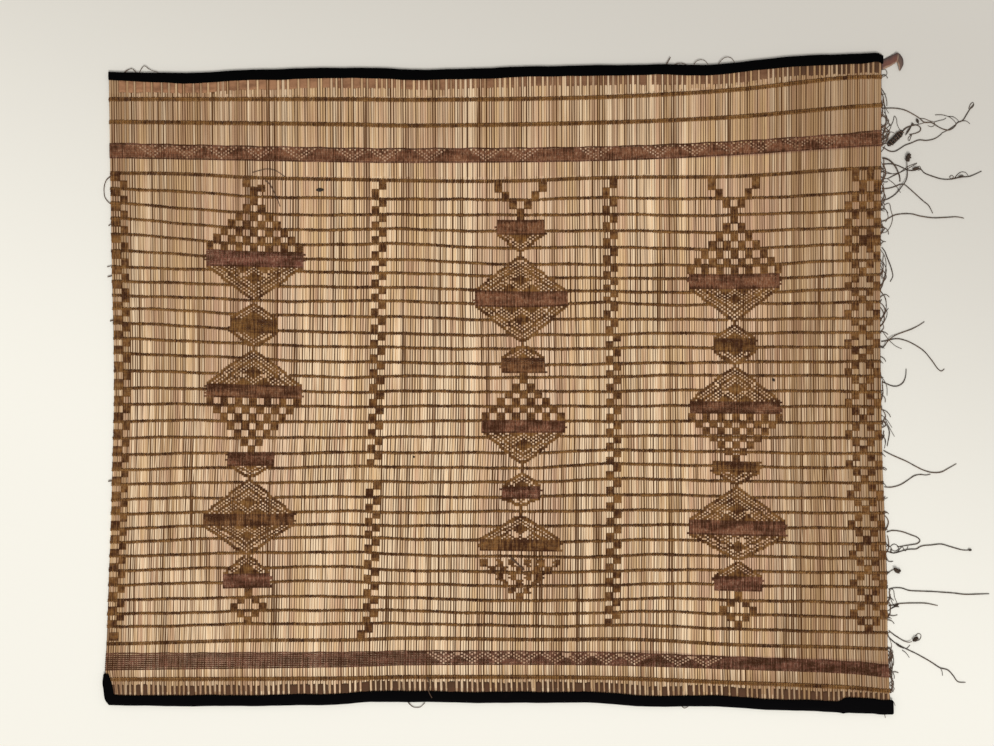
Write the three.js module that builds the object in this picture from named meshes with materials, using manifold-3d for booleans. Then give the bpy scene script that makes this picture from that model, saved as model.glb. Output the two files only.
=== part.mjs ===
// A grass-stem and leather mat, lying flat. Millimetres, +Z up. +X runs along the leather thongs,
// +Y along the stems. The underside lies on Z = 0.

import * as THREE from "three";
import { mergeVertices } from "three/addons/utils/BufferGeometryUtils.js";
import Module from "manifold-3d";

const wasm = await Module();
wasm.setup();

// The origin is the middle of the mat's box, so the outline below is shifted by this much.
const ORIGIN = { x: 9.8, y: 2.3 };

// Fit between neighbouring pieces.
const GAP = 0.3;

// The woven field: stems with thongs on both faces.
const FIELD_THICKNESS = 4.4;
const SHARES = Array.from({ length: 27 }, (_, i) => i / 26);
const SIDE_STEPS = 22;

// The stem ends are pressed thinner where a binding folds over them.
const TONGUE_BOTTOM = 1.6;
const TONGUE_TOP = 3.9;

// Black leather bindings, folded over the stem ends.
const BINDING_WALL = 1.3;
const BINDING_HEIGHT = TONGUE_TOP + GAP + BINDING_WALL;
const BINDING_NOSE = 1.7;
const TOP_LAP = 13;
const BOTTOM_LAP = 16;

// Wide brown leather strips beside the bindings, lying in the weave's upper face.
const STRIP_THICKNESS = 1;
const GROOVE_OVERRUN = 5;
const TOP_STRIP_WIDTH = 18;
const BOTTOM_STRIP_WIDTH = 16;

// Loose thongs.
const THONG_DIAMETER = 1.8;
const THICK_THONG_DIAMETER = 2.6;
const THONG_STEP = 5.2;
const THONG_SIDES = 8;

// The fringe comb along the right edge.
const COMB_HEIGHT = 1.4;
const COMB_SPINE = 2;
const TOOTH_WIDTH = 1.7;
const TOOTH_STEPS = 5;

// The outer edge of the top binding, left to right.
const TOP_EDGE = [
  { at: -602, edge: 485 },
  { at: -480, edge: 483 },
  { at: -370, edge: 488 },
  { at: -220, edge: 491 },
  { at: -105, edge: 488 },
  { at: 60, edge: 493 },
  { at: 250, edge: 496 },
  { at: 345, edge: 496.5 },
  { at: 450, edge: 508 },
  { at: 600, edge: 514.5 },
];

// The outer edge of the bottom binding, left to right.
const BOTTOM_EDGE = [
  { at: -604, edge: -495 },
  { at: -480, edge: -497 },
  { at: -250, edge: -495 },
  { at: -175, edge: -490.5 },
  { at: 5, edge: -492 },
  { at: 150, edge: -492 },
  { at: 237, edge: -498 },
  { at: 315, edge: -497 },
  { at: 403, edge: -502 },
  { at: 507, edge: -506 },
  { at: 614, edge: -511 },
];

// The first and last stems, from the bottom up.
const LEFT_EDGE = [
  { at: -496, edge: -598 },
  { at: -480, edge: -600 },
  { at: -462, edge: -604.5 },
  { at: -440, edge: -606.5 },
  { at: -395, edge: -604.5 },
  { at: -302, edge: -600.5 },
  { at: -217, edge: -597 },
  { at: -100, edge: -594 },
  { at: -20, edge: -592 },
  { at: 85, edge: -593 },
  { at: 147, edge: -595 },
  { at: 330, edge: -598.5 },
  { at: 490, edge: -601 },
];

const RIGHT_EDGE = [
  { at: -511, edge: 609 },
  { at: -473, edge: 608 },
  { at: -395, edge: 604.5 },
  { at: -318, edge: 604 },
  { at: -240, edge: 601.5 },
  { at: -178, edge: 598.8 },
  { at: -132, edge: 596.8 },
  { at: -31, edge: 594.5 },
  { at: 85, edge: 592.5 },
  { at: 147, edge: 592.5 },
  { at: 333, edge: 594.3 },
  { at: 515, edge: 595 },
];

// How the bottom binding's left end is folded up over the corner: its outer and inner outline.
const CORNER_FOLD = [
  { outerX: -608.8, outerY: -447.5, innerX: -600.5, innerY: -447.5 },
  { outerX: -610.4, outerY: -460, innerX: -597, innerY: -458 },
  { outerX: -609, outerY: -471, innerX: -593.8, innerY: -470 },
  { outerX: -606.4, outerY: -487, innerX: -592.6, innerY: -477 },
  { outerX: -600.4, outerY: -495.2, innerX: -591.6, innerY: -479 },
];
const FOLD_UNDERLAP = 2.2;
const CORNER_SHARE = 0.012;

// How far each binding stands past the last stem.
const TOP_PAST = 2.4;
const BOTTOM_PAST = 4.8;

// Short thong ends: where each leaves the edge, how far it reaches out and along, and its bow.
const TEETH = [
  { at: 478, out: 9, along: -3, bow: 4 },
  { at: 460, out: 8, along: -28, bow: 3 },
  { at: 418, out: 12, along: -16, bow: 3 },
  { at: 398, out: 13, along: -4, bow: -3 },
  { at: 371.4, out: 10.2, along: 2.4, bow: 1 },
  { at: 329, out: 8, along: -2, bow: 2 },
  { at: 318, out: 10, along: -3, bow: -2 },
  { at: 272, out: 11, along: -6, bow: 3 },
  { at: 243, out: 12, along: -10, bow: 5 },
  { at: 228, out: 8, along: -6, bow: -2 },
  { at: 195, out: 7, along: -22, bow: -2 },
  { at: 146, out: 9, along: -24, bow: 4 },
  { at: 134, out: 14, along: 2, bow: 5 },
  { at: 93, out: 13, along: 26, bow: -3 },
  { at: 82, out: 12, along: -4, bow: 2 },
  { at: 44, out: 8, along: -8, bow: 2 },
  { at: -14, out: 6, along: -13, bow: 3 },
  { at: -38, out: 14, along: -12, bow: 3 },
  { at: -76, out: 5, along: -14, bow: 2 },
  { at: -128, out: 6, along: -3, bow: 1 },
  { at: -196, out: 6, along: -4, bow: 1 },
  { at: -268, out: 10, along: -5, bow: -3 },
  { at: -294, out: 12, along: 7, bow: 4 },
  { at: -330, out: 9, along: -4, bow: 2 },
  { at: -353, out: 15, along: -3, bow: -3 },
  { at: -364, out: 10, along: -6, bow: 2 },
  { at: -405, out: 8, along: -30, bow: 4 },
  { at: -440, out: 8, along: -15, bow: 3 },
  { at: -447, out: 14, along: 1, bow: 2 },
  { at: -471, out: 5, along: -5, bow: 1 },
];

// Long loose thongs. Each starts beside the comb at the height of its first point and lies on the
// surface, lifted only where it passes over another. Columns: x, y, and lift over the surface.
const THONGS = [
  {
    name: "thong_crest",
    route: [
      [600, 428.6, 0], [609, 429, 0], [618, 428.7, 0], [631.5, 426, 0], [645, 419.4, 0],
      [655, 413, 0], [662, 407, 0], [673, 406.5, 0], [684.5, 399.6, 0], [692.5, 396, 0],
      [700.5, 395, 0], [708.4, 399.6, 0], [713, 406, 0], [721.7, 410, 0], [727, 418, 0],
      [733.6, 428.7, 0], [739, 435.4, 0],
    ],
  },
  {
    name: "thong_bundled",
    from: 628.9,
    route: [
      [628.9, 393.6, 0], [632.6, 396.9, 0], [638.6, 400.4, 0], [645.6, 402.9, 0], [652.4, 401.9, 0],
      [656.5, 397.9, 0], [655.3, 393.3, 0], [647.6, 389.7, 0], [638.6, 388, 0],
    ],
  },
  {
    name: "thong_lower_crest",
    route: [
      [600, 368.5, 0], [604, 364.5, 0], [608, 362.4, 0], [615.7, 361.8, 0], [623.6, 365.8, 0],
      [631.5, 371, 0], [642, 375, 0], [654, 379.6, 0], [665, 378.8, 0], [678, 381.6, 0],
      [686.5, 387, 0], [690.5, 391, 0],
    ],
  },
  {
    name: "thong_arc",
    thick: true,
    route: [
      [598, 351.5, 0], [602, 350.6, 0.3], [606.4, 348.4, 1.2], [610.5, 345, 2.2], [614.4, 340.8, 2.3],
      [617.8, 336.2, 1.8], [620.6, 331, 0.8], [623, 325.4, 0.1], [624.2, 320, 0], [624.2, 314.8, 0],
    ],
  },
  {
    name: "thong_knotted",
    route: [
      [598, 341.6, 0], [603, 342.4, 0], [609, 342.5, 0], [615, 341.8, 0], [622, 339.6, 0],
      [629, 336.4, 0], [637, 332.8, 0], [647.4, 332.6, 0], [655.3, 335.3, 0], [662, 328.6, 0],
      [675, 323.3, 0], [688.5, 319.3, 0], [701.7, 318.7, 0], [719, 322, 0], [732.2, 323.3, 0],
      [750.8, 331.2, 0],
    ],
  },
  {
    name: "thong_stub",
    route: [
      [598, 286, 0], [604, 287.6, 0], [610, 290.6, 0], [615.7, 294.4, 0.1], [620.4, 299, 0.8],
      [624.4, 304.2, 1.8], [628.2, 309.6, 2.4], [632, 314.8, 2.3], [634.6, 320.6, 1.7], [635.3, 327, 1.9],
      [635, 333.2, 2.4], [634.7, 339.4, 2.4], [634.5, 345.3, 2.2],
    ],
  },
  {
    name: "thong_slope",
    route: [
      [598, 303.6, 0], [606.4, 304.7, 0], [613, 306.3, 0], [619, 308.4, 0], [625, 310.9, 0],
      [631, 310.6, 0], [637, 306.1, 0], [647.4, 296.8, 0], [660.6, 284.9, 0], [668.7, 278.2, 0],
      [675.2, 266, 0],
    ],
  },
  {
    name: "thong_level",
    route: [
      [598, 253.6, 0], [602, 255.2, 0], [606.4, 258, 0], [615.7, 263, 0], [626.2, 265, 0],
      [642.2, 265, 0], [655.3, 261.8, 0], [675.2, 259, 0], [695.2, 259.6, 0], [712.4, 260.4, 0],
      [723.5, 258.4, 0],
    ],
  },
  {
    name: "thong_bent",
    route: [
      [598, 213, 0], [601, 207, 0], [603.9, 199.4, 0], [607, 191.5, 0], [610, 183.7, 0],
      [612.2, 176, 0], [613.3, 168.2, 0], [609.2, 160, 0],
    ],
  },
  {
    name: "thong_rising",
    route: [
      [598, 57, 0], [600.4, 61, 0.9], [603, 65.4, 2.1], [606.6, 69.6, 2.4], [611, 73.4, 2.1],
      [616.4, 76.6, 0.9], [623, 79.6, 0.1], [632, 82.8, 0], [643.3, 87, 0], [654, 92.6, 0],
      [662.3, 98.1, 0],
    ],
  },
  {
    name: "thong_falling",
    route: [
      [598, 67.4, 0], [603, 68.6, 0], [609, 70.2, 0], [621, 71.6, 0], [634.9, 68.2, 0],
      [650.2, 60.5, 0], [662.3, 51.8, 0], [674.3, 37.2, 0], [683.6, 24.6, 0], [688.6, 21.4, 0],
      [693.3, 25, 0],
    ],
  },
  {
    name: "thong_hook",
    route: [
      [598, 4.8, 0], [603.9, 1.9, 0], [610, -0.8, 0], [616, -2, 0], [623, -0.8, 0],
      [629.3, 4, 0], [633, 13, 0], [634, 25.1, 0],
    ],
  },
  {
    name: "thong_edge",
    route: [
      [599, -56, 0], [603.4, -61.5, 0], [606.8, -67.5, 0], [608, -74, 0], [607.2, -81, 0],
      [605.8, -88, 0], [604.6, -95, 0],
    ],
  },
  {
    name: "thong_wave",
    route: [
      [599, -101.6, 0], [604, -104.4, 0], [612, -108.5, 0], [621, -112.5, 0], [634.9, -118.6, 0],
      [648.5, -126, 0], [660.3, -131.8, 0], [674.3, -135.6, 0], [688.2, -134.9, 0],
      [700.1, -128.7, 0], [711.9, -122, 0],
    ],
  },
  {
    name: "thong_joining",
    route: [
      [600, -158, 0], [610.7, -158.4, 0], [624.7, -154.7, 0], [636.6, -147.4, 0], [646.8, -140.6, 0],
      [655.7, -138.8, 0], [665, -139.6, 0], [671.8, -138.2, 0],
    ],
  },
  {
    name: "thong_loop",
    route: [
      [603, -228, 0], [610.7, -225.8, 0], [620, -226, 0], [629, -227.8, 0], [642, -233.4, 0],
      [652, -236.9, 0], [656.4, -240.8, 0], [652.8, -244.6, 0], [646, -245.8, 0], [634.9, -247.6, 0],
      [620, -250.6, 0],
    ],
  },
  {
    name: "thong_curled",
    route: [
      [604, -258, 0], [613.8, -260.4, 0], [623, -258.6, 0], [633.2, -255.4, 0], [641.7, -254.4, 0],
      [650, -254, 0], [655.4, -250.6, 0], [662, -248.8, 0], [672.7, -248, 0], [688.2, -246.6, 0],
      [702.2, -250.5, 0], [722.3, -255.8, 0], [732.8, -255.8, 0],
    ],
  },
  {
    name: "thong_longest",
    route: [
      [607, -317, 0], [612, -315, 0], [620, -314.2, 0], [628, -315, 0], [638.3, -318.4, 0],
      [655, -319.4, 0], [672.7, -320, 0], [690, -321.2, 0], [706.8, -322.4, 0], [724.3, -324.4, 0],
      [745.6, -324, 0], [762.6, -323.6, 0],
    ],
  },
  {
    name: "thong_straight",
    route: [
      [607, -342.2, 0], [613.8, -341, 0], [621, -339.2, 0], [627, -338.5, 0], [638, -338, 0],
      [648.5, -337.9, 0], [664, -338.2, 0], [682.9, -341.9, 0],
    ],
  },
  {
    name: "thong_knob",
    route: [
      [607, -381, 0], [614.4, -386.6, 0], [622, -391.6, 0], [629, -395.8, 0.1], [634.6, -398, 0.8],
      [639, -398.2, 1.6], [642.5, -396.9, 2.1],
    ],
  },
  {
    name: "thong_lowest",
    route: [
      [606.4, -391, 0], [612, -396, 0], [621, -402, 0], [634, -408.9, 0], [652, -417.6, 0],
      [672.7, -429.4, 0], [686.5, -438.2, 0], [698.4, -441.6, 0], [706.8, -450.3, 0],
      [714, -459.6, 0], [726, -461, 0],
    ],
  },
];

// Wrapped knots: middle, length, width, and the direction that the long axis points, in degrees.
const KNOTS = [
  { name: "knot_bundle", x: 617.6, y: 383, length: 31, width: 7.4, turn: 43.5 },
  { name: "knot_stub", x: 636.6, y: 352, length: 13.4, width: 6.4, turn: 72 },
  { name: "knot_knob", x: 647.8, y: -393.6, length: 11, width: 6.2, turn: 32 },
  { name: "knot_bead", x: 621.4, y: -287.9, length: 9, width: 5, turn: 8 },
];

// The corner tab: a strip that leaves the top binding's end, then folds down over itself.
const TAB_THICKNESS = 1.4;
const TAB_BASE = [
  [597.8, 504], [600.5, 507.6], [619, 514.4], [621.5, 512], [618.6, 497.6], [602, 492.6],
  [597.8, 488.6],
];
const TAB_TAIL = [
  [619, 514.6], [630, 504.6], [625.4, 485], [619.6, 488.4], [618.4, 500],
];

const LEATHER_BLACK = new THREE.MeshStandardMaterial({ color: 0x0b0a0c, roughness: 0.75 });
const LEATHER_BROWN = new THREE.MeshStandardMaterial({ color: 0x6e4630, roughness: 0.7 });
const LEATHER_RED = new THREE.MeshStandardMaterial({ color: 0x7b3b27, roughness: 0.65 });
const THONG_LEATHER = new THREE.MeshStandardMaterial({ color: 0x5a4f47, roughness: 0.75 });
const STEM = new THREE.MeshStandardMaterial({ color: 0xcdb08a, roughness: 0.6 });

const mat = new THREE.Group();
mat.position.set(-ORIGIN.x, -ORIGIN.y, 0);

function add(name, geometry, material) {
  const mesh = new THREE.Mesh(geometry, material.clone());
  mesh.name = name;
  mat.add(mesh);
}

// A smooth curve through the rows of an edge table.
function along(table, at) {
  const last = table.length - 1;
  const slope = (i) => {
    const before = table[Math.max(i - 1, 0)];
    const after = table[Math.min(i + 1, last)];
    return (after.edge - before.edge) / (after.at - before.at);
  };
  const found = table.findIndex((row, i) => i < last && at <= table[i + 1].at);
  const i = found < 0 ? last - 1 : found;
  const [from, to] = [table[i], table[i + 1]];
  const span = to.at - from.at;
  const t = Math.min(Math.max((at - from.at) / span, 0), 1);
  const rise = slope(i) * span * (t ** 3 - 2 * t ** 2 + t) + slope(i + 1) * span * (t ** 3 - t ** 2);
  return from.edge * (2 * t ** 3 - 3 * t ** 2 + 1) + to.edge * (3 * t ** 2 - 2 * t ** 3) + rise;
}

// The place across the mat of the stem at share s, from the first stem to the last, at height y.
function stemX(s, y) {
  return along(LEFT_EDGE, y) * (1 - s) + along(RIGHT_EDGE, y) * s;
}

// A closed solid through like-sided sections, each the profile as a ring of [x, y, z] points. The
// sections follow each other with the profile's inward side on their left.
function skin(sections, profile) {
  const sides = profile.length;
  const end = (sections.length - 1) * sides;
  const faces = [];
  for (let j = 0; j < end; j += sides) {
    for (let k = 0; k < sides; k += 1) {
      const next = (k + 1) % sides;
      faces.push(j + k, j + next, j + k + sides, j + next, j + next + sides, j + k + sides);
    }
  }
  const flat = profile.map(([inward, z]) => new THREE.Vector2(inward, z));
  for (const [a, b, c] of THREE.ShapeUtils.triangulateShape(flat, [])) {
    faces.push(c, b, a, end + a, end + b, end + c);
  }
  const geometry = new THREE.BufferGeometry();
  geometry.setAttribute("position", new THREE.Float32BufferAttribute(sections.flat(2), 3));
  geometry.setIndex(faces);
  geometry.computeVertexNormals();
  return geometry;
}

// Points along the mat at a distance in from its top or bottom edge, from left to right.
function edgeLine(edge, inset) {
  const inward = edge === TOP_EDGE ? -inset : inset;
  return SHARES.map((s) => {
    const y = along(edge, stemX(s, 0)) + inward;
    return [stemX(s, y), y];
  });
}

// Points up the last or first stem between two heights, a distance out from it.
function sideLine(edge, low, high, out = 0) {
  const points = [];
  for (let i = 0; i <= SIDE_STEPS; i += 1) {
    const y = low + ((high - low) * i) / SIDE_STEPS;
    points.push([along(edge, y) + out, y]);
  }
  return points;
}

// The plan of the part of the mat between a lower and an upper line.
function plan(lower, upper) {
  const right = sideLine(RIGHT_EDGE, lower.at(-1)[1], upper.at(-1)[1]);
  const left = sideLine(LEFT_EDGE, lower[0][1], upper[0][1]);
  return [...lower, ...right.slice(1, -1), ...upper.toReversed(), ...left.slice(1, -1).toReversed()];
}

// The plan of a ribbon along a route.
function ribbon(points, width) {
  const sides = points.map(([x, y], i) => {
    const before = points[Math.max(i - 1, 0)];
    const after = points[Math.min(i + 1, points.length - 1)];
    const length = Math.hypot(after[0] - before[0], after[1] - before[1]);
    const across = (width / 2) * ((after[0] - before[0]) / length);
    const up = (width / 2) * ((after[1] - before[1]) / length);
    return { left: [x - up, y + across], right: [x + up, y - across] };
  });
  return [...sides.map((side) => side.right), ...sides.map((side) => side.left).toReversed()];
}

// A flat piece with the given plan, as a manifold-3d solid.
function slab(points, low, high) {
  const shape = new THREE.Shape(points.map(([x, y]) => new THREE.Vector2(x, y)));
  const geometry = new THREE.ExtrudeGeometry(shape, { depth: high - low, bevelEnabled: false });
  geometry.translate(0, 0, low);
  geometry.deleteAttribute("normal");
  geometry.deleteAttribute("uv");
  const merged = mergeVertices(geometry, 1e-4);
  return new wasm.Manifold(
    new wasm.Mesh({
      numProp: 3,
      vertProperties: new Float32Array(merged.attributes.position.array),
      triVerts: new Uint32Array(merged.index.array),
    }),
  );
}

function surface(solid) {
  const mesh = solid.getMesh();
  const geometry = new THREE.BufferGeometry();
  geometry.setAttribute("position", new THREE.Float32BufferAttribute(mesh.vertProperties, 3));
  geometry.setIndex([...mesh.triVerts]);
  geometry.computeVertexNormals();
  return geometry;
}

// What a strip's groove takes out of the weave. It runs out past the first and last stems.
function groove(edge, near, width) {
  const overrun = (line) => {
    const [first, last] = [line[0], line.at(-1)];
    return [[first[0] - GROOVE_OVERRUN, first[1]], ...line, [last[0] + GROOVE_OVERRUN, last[1]]];
  };
  const from = overrun(edgeLine(edge, near));
  const to = overrun(edgeLine(edge, near + width + 2 * GAP));
  const floor = FIELD_THICKNESS - STRIP_THICKNESS - GAP;
  const points = [...from, ...to.toReversed()];
  return slab(edge === TOP_EDGE ? points.toReversed() : points, floor, BINDING_HEIGHT);
}

// The woven field: full thickness between the bindings, a thin tongue of stem ends in each
// binding, and a groove for each edge strip.
function addField() {
  const topShoulder = TOP_LAP + GAP;
  const bottomShoulder = BOTTOM_LAP + GAP;
  const end = BINDING_NOSE + GAP;
  const weave = plan(edgeLine(BOTTOM_EDGE, bottomShoulder), edgeLine(TOP_EDGE, topShoulder));
  const tongues = plan(edgeLine(BOTTOM_EDGE, end), edgeLine(TOP_EDGE, end));
  const topGroove = groove(TOP_EDGE, topShoulder, TOP_STRIP_WIDTH);
  const bottomGroove = groove(BOTTOM_EDGE, bottomShoulder, BOTTOM_STRIP_WIDTH);
  const field = slab(weave, 0, FIELD_THICKNESS)
    .add(slab(tongues, TONGUE_BOTTOM, TONGUE_TOP))
    .subtract(topGroove)
    .subtract(bottomGroove);
  add("stem_field", surface(field), STEM);
}

// A flat leather strip in each groove.
function addStrips() {
  const low = FIELD_THICKNESS - STRIP_THICKNESS;
  const topNear = TOP_LAP + 2 * GAP;
  const bottomNear = BOTTOM_LAP + 2 * GAP;
  const top = plan(edgeLine(TOP_EDGE, topNear + TOP_STRIP_WIDTH), edgeLine(TOP_EDGE, topNear));
  const bottom = plan(
    edgeLine(BOTTOM_EDGE, bottomNear),
    edgeLine(BOTTOM_EDGE, bottomNear + BOTTOM_STRIP_WIDTH),
  );
  add("strip_top", surface(slab(top, low, FIELD_THICKNESS)), LEATHER_BROWN);
  add("strip_bottom", surface(slab(bottom, low, FIELD_THICKNESS)), LEATHER_BROWN);
}

// A folded binding's section: distance in from its outer edge, and height. The slot inside it
// clears the stem ends.
function foldProfile(lap, underlap, rise) {
  const top = BINDING_HEIGHT + rise;
  const slotTop = top - BINDING_WALL;
  return [
    [0, 1.2], [0.5, 0.35], [1.4, 0], [underlap, 0], [underlap, BINDING_WALL],
    [BINDING_NOSE, BINDING_WALL + 0.05], [BINDING_NOSE, slotTop], [lap, slotTop], [lap, top],
    [1.4, top], [0.5, top - 0.35], [0, top - 1.2],
  ];
}

// A binding's sections from the left end to a little past the last stem.
function foldSections(edge, ring, firstShare, past) {
  const section = (share, out) => {
    const outer = along(edge, stemX(share, 0));
    return ring.map(([inward, z]) => {
      const y = edge === TOP_EDGE ? outer - inward : outer + inward;
      return [stemX(share, y) + out, y, z];
    });
  };
  return [...SHARES.map((s) => section(Math.max(s, firstShare), 0)), section(1, past)];
}

function addTopBinding() {
  const ring = foldProfile(TOP_LAP, TOP_LAP, 0);
  const sections = foldSections(TOP_EDGE, ring, 0, TOP_PAST);
  add("binding_top", skin(sections.toReversed(), ring), LEATHER_BLACK);
}

function addBottomBinding() {
  const foldRise = FIELD_THICKNESS - TONGUE_TOP;
  const corner = CORNER_FOLD.map(({ outerX, outerY, innerX, innerY }) => {
    const reach = Math.hypot(innerX - outerX, innerY - outerY);
    return foldProfile(reach, FOLD_UNDERLAP, foldRise).map(([inward, z]) => {
      const share = inward / reach;
      return [outerX + (innerX - outerX) * share, outerY + (innerY - outerY) * share, z];
    });
  });
  const ring = foldProfile(BOTTOM_LAP, BOTTOM_LAP, 0);
  const sections = foldSections(BOTTOM_EDGE, ring, CORNER_SHARE, BOTTOM_PAST);
  add("binding_bottom", skin([...corner, ...sections], ring), LEATHER_BLACK);
}

function addTab() {
  const base = slab(TAB_BASE, 0, TAB_THICKNESS);
  const tail = slab(TAB_TAIL, TAB_THICKNESS * 0.8, TAB_THICKNESS * 1.8);
  add("corner_tab", surface(base.add(tail)), LEATHER_RED);
}

// The middle of the comb's spine.
function spineX(y) {
  return along(RIGHT_EDGE, y) + GAP + COMB_SPINE / 2;
}

// The fringe: a spine beside the last stem, and one tooth for each short thong end.
function addFringe() {
  const low = edgeLine(BOTTOM_EDGE, BOTTOM_LAP + 1).at(-1)[1];
  const high = edgeLine(TOP_EDGE, TOP_LAP + 1).at(-1)[1];
  const spine = sideLine(RIGHT_EDGE, low, high, GAP + COMB_SPINE / 2);
  let comb = slab(ribbon(spine, COMB_SPINE), 0, COMB_HEIGHT);
  for (const { at, out, along: drop, bow } of TEETH) {
    const length = Math.hypot(out, drop);
    const route = [];
    for (let i = 0; i <= TOOTH_STEPS; i += 1) {
      const t = i / TOOTH_STEPS;
      const bulge = (4 * t * (1 - t) * bow) / length;
      route.push([spineX(at) + out * t + bulge * Math.abs(drop), at + drop * t + bulge * out]);
    }
    comb = comb.add(slab(ribbon(route, TOOTH_WIDTH), 0, COMB_HEIGHT));
  }
  add("fringe_right", surface(comb), THONG_LEATHER);
}

// A loose thong: a many-sided tube along its route.
function addThong({ name, route, thick, from }) {
  const radius = (thick ? THICK_THONG_DIAMETER : THONG_DIAMETER) / 2;
  const edge = spineX(route[0][1]) + COMB_SPINE / 2 + GAP;
  const slant = Math.atan2(route[1][1] - route[0][1], route[1][0] - edge);
  const firstX = from ?? edge + 1.2 * radius * Math.abs(Math.sin(slant));
  const points = route.map(([x, y, lift], i) => new THREE.Vector3(i ? x : firstX, y, radius + 0.02 + lift));
  const path = new THREE.CatmullRomCurve3(points, false, "centripetal");
  const shape = new THREE.Shape();
  for (let k = 0; k < THONG_SIDES; k += 1) {
    const angle = ((k + 0.5) * 2 * Math.PI) / THONG_SIDES;
    const [across, up] = [radius * Math.cos(angle), radius * Math.sin(angle)];
    if (k === 0) shape.moveTo(across, up);
    else shape.lineTo(across, up);
  }
  shape.closePath();
  const steps = Math.max(6, Math.round(path.getLength() / THONG_STEP));
  const settings = { steps, bevelEnabled: false, extrudePath: path };
  add(name, new THREE.ExtrudeGeometry(shape, settings), THONG_LEATHER);
}

function addKnot({ name, x, y, length, width, turn }) {
  const ball = new THREE.CapsuleGeometry(width / 2, length - width, 3, 10);
  ball.rotateZ(((turn - 90) * Math.PI) / 180);
  ball.translate(x, y, width / 2 + 0.02);
  add(name, mergeVertices(ball), THONG_LEATHER);
}

addField();
addTopBinding();
addBottomBinding();
addStrips();
addTab();
addFringe();
THONGS.forEach(addThong);
KNOTS.forEach(addKnot);

export default mat;
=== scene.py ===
import math
from functools import partial

import bmesh
import bpy
import numpy as np
from bpy.props import FloatProperty, FloatVectorProperty, IntProperty, PointerProperty
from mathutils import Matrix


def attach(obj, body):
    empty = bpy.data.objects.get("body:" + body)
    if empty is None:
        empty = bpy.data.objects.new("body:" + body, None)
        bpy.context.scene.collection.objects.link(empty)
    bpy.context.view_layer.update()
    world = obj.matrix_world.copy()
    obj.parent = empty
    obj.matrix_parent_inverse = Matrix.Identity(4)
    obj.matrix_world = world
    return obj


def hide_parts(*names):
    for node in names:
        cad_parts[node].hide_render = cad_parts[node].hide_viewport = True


bl_info = {
    "name": "Stem and thong mat",
    "version": (1, 0, 0),
    "blender": (4, 5, 0),
    "location": "3D View > Sidebar > Mat",
    "description": "Builds a floor mat of grass stems twined with leather thongs",
    "category": "Mesh",
}

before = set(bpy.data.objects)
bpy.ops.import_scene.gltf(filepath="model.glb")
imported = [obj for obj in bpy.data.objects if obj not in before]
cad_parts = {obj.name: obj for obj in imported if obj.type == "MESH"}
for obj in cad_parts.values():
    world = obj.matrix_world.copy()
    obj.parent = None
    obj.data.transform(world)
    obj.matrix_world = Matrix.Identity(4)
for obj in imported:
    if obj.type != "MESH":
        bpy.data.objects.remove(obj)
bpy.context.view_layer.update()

MM = 0.001
# The shared frame's origin, as a place on the mat.
ORIGIN = np.array([0.0098, 0.0023])
STEMS = 312
LAST_STEM = STEMS - 1
SEED = 11

# Outlines, in metres before the shift to the origin: the place along an edge, and the edge there.
TOP_EDGE = (
    (-0.602, 0.485), (-0.48, 0.483), (-0.37, 0.488), (-0.22, 0.491), (-0.105, 0.488),
    (0.06, 0.493), (0.25, 0.496), (0.345, 0.4965), (0.45, 0.508), (0.6, 0.5145),
)
BOTTOM_EDGE = (
    (-0.604, -0.495), (-0.48, -0.497), (-0.25, -0.495), (-0.175, -0.4905), (0.005, -0.492),
    (0.15, -0.492), (0.237, -0.498), (0.315, -0.497), (0.403, -0.502), (0.507, -0.506),
    (0.614, -0.511),
)
LEFT_EDGE = (
    (-0.496, -0.606), (-0.462, -0.6065), (-0.44, -0.6063), (-0.395, -0.6037), (-0.35, -0.602),
    (-0.302, -0.6005), (-0.217, -0.597), (-0.1, -0.594), (-0.02, -0.592), (0.085, -0.593),
    (0.147, -0.595), (0.33, -0.5985), (0.49, -0.601),
)
RIGHT_EDGE = (
    (-0.511, 0.609), (-0.473, 0.608), (-0.395, 0.6045), (-0.318, 0.604), (-0.24, 0.6015),
    (-0.178, 0.5988), (-0.132, 0.5968), (-0.031, 0.5945), (0.085, 0.5925), (0.147, 0.5925),
    (0.333, 0.5943), (0.515, 0.595),
)
TOP_LAP = 0.013
BOTTOM_LAP = 0.016
TOP_STRIP = 0.018
BOTTOM_STRIP = 0.016

# Heights of the twined lines at three places across the mat, from the top line down.
LINE_PLACES = (-0.569, 0.175, 0.594)
LINES = (
    (0.3281, 0.3191, 0.3346), (0.3027, 0.2882, 0.2972), (0.279, 0.263, 0.2715), (0.2558, 0.2383, 0.2448),
    (0.2323, 0.2133, 0.2178), (0.2068, 0.1858, 0.1933), (0.1824, 0.1644, 0.1709),
    (0.1599, 0.1439, 0.1489), (0.1374, 0.1254, 0.1289), (0.1174, 0.1014, 0.1034), (0.094, 0.078, 0.082),
    (0.0705, 0.057, 0.059), (0.0475, 0.033, 0.037), (0.0206, 0.0141, 0.0141), (-0.0059, -0.0089, -0.0099),
    (-0.0308, -0.0328, -0.0333), (-0.0567, -0.0567, -0.0582), (-0.0827, -0.0792, -0.0822),
    (-0.1076, -0.1016, -0.1061), (-0.1305, -0.123, -0.1285), (-0.1535, -0.146, -0.151),
    (-0.1774, -0.17, -0.1754), (-0.1999, -0.1939, -0.1969), (-0.2224, -0.2179, -0.2214),
    (-0.2429, -0.2424, -0.2454), (-0.2654, -0.2654, -0.2684), (-0.2874, -0.2879, -0.2919),
    (-0.3098, -0.3093, -0.3143), (-0.3333, -0.3318, -0.3383), (-0.3548, -0.3518, -0.3613),
    (-0.3748, -0.3728, -0.3858), (-0.4013, -0.3948, -0.4113),
)
LAST_LINE = len(LINES) - 1
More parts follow.
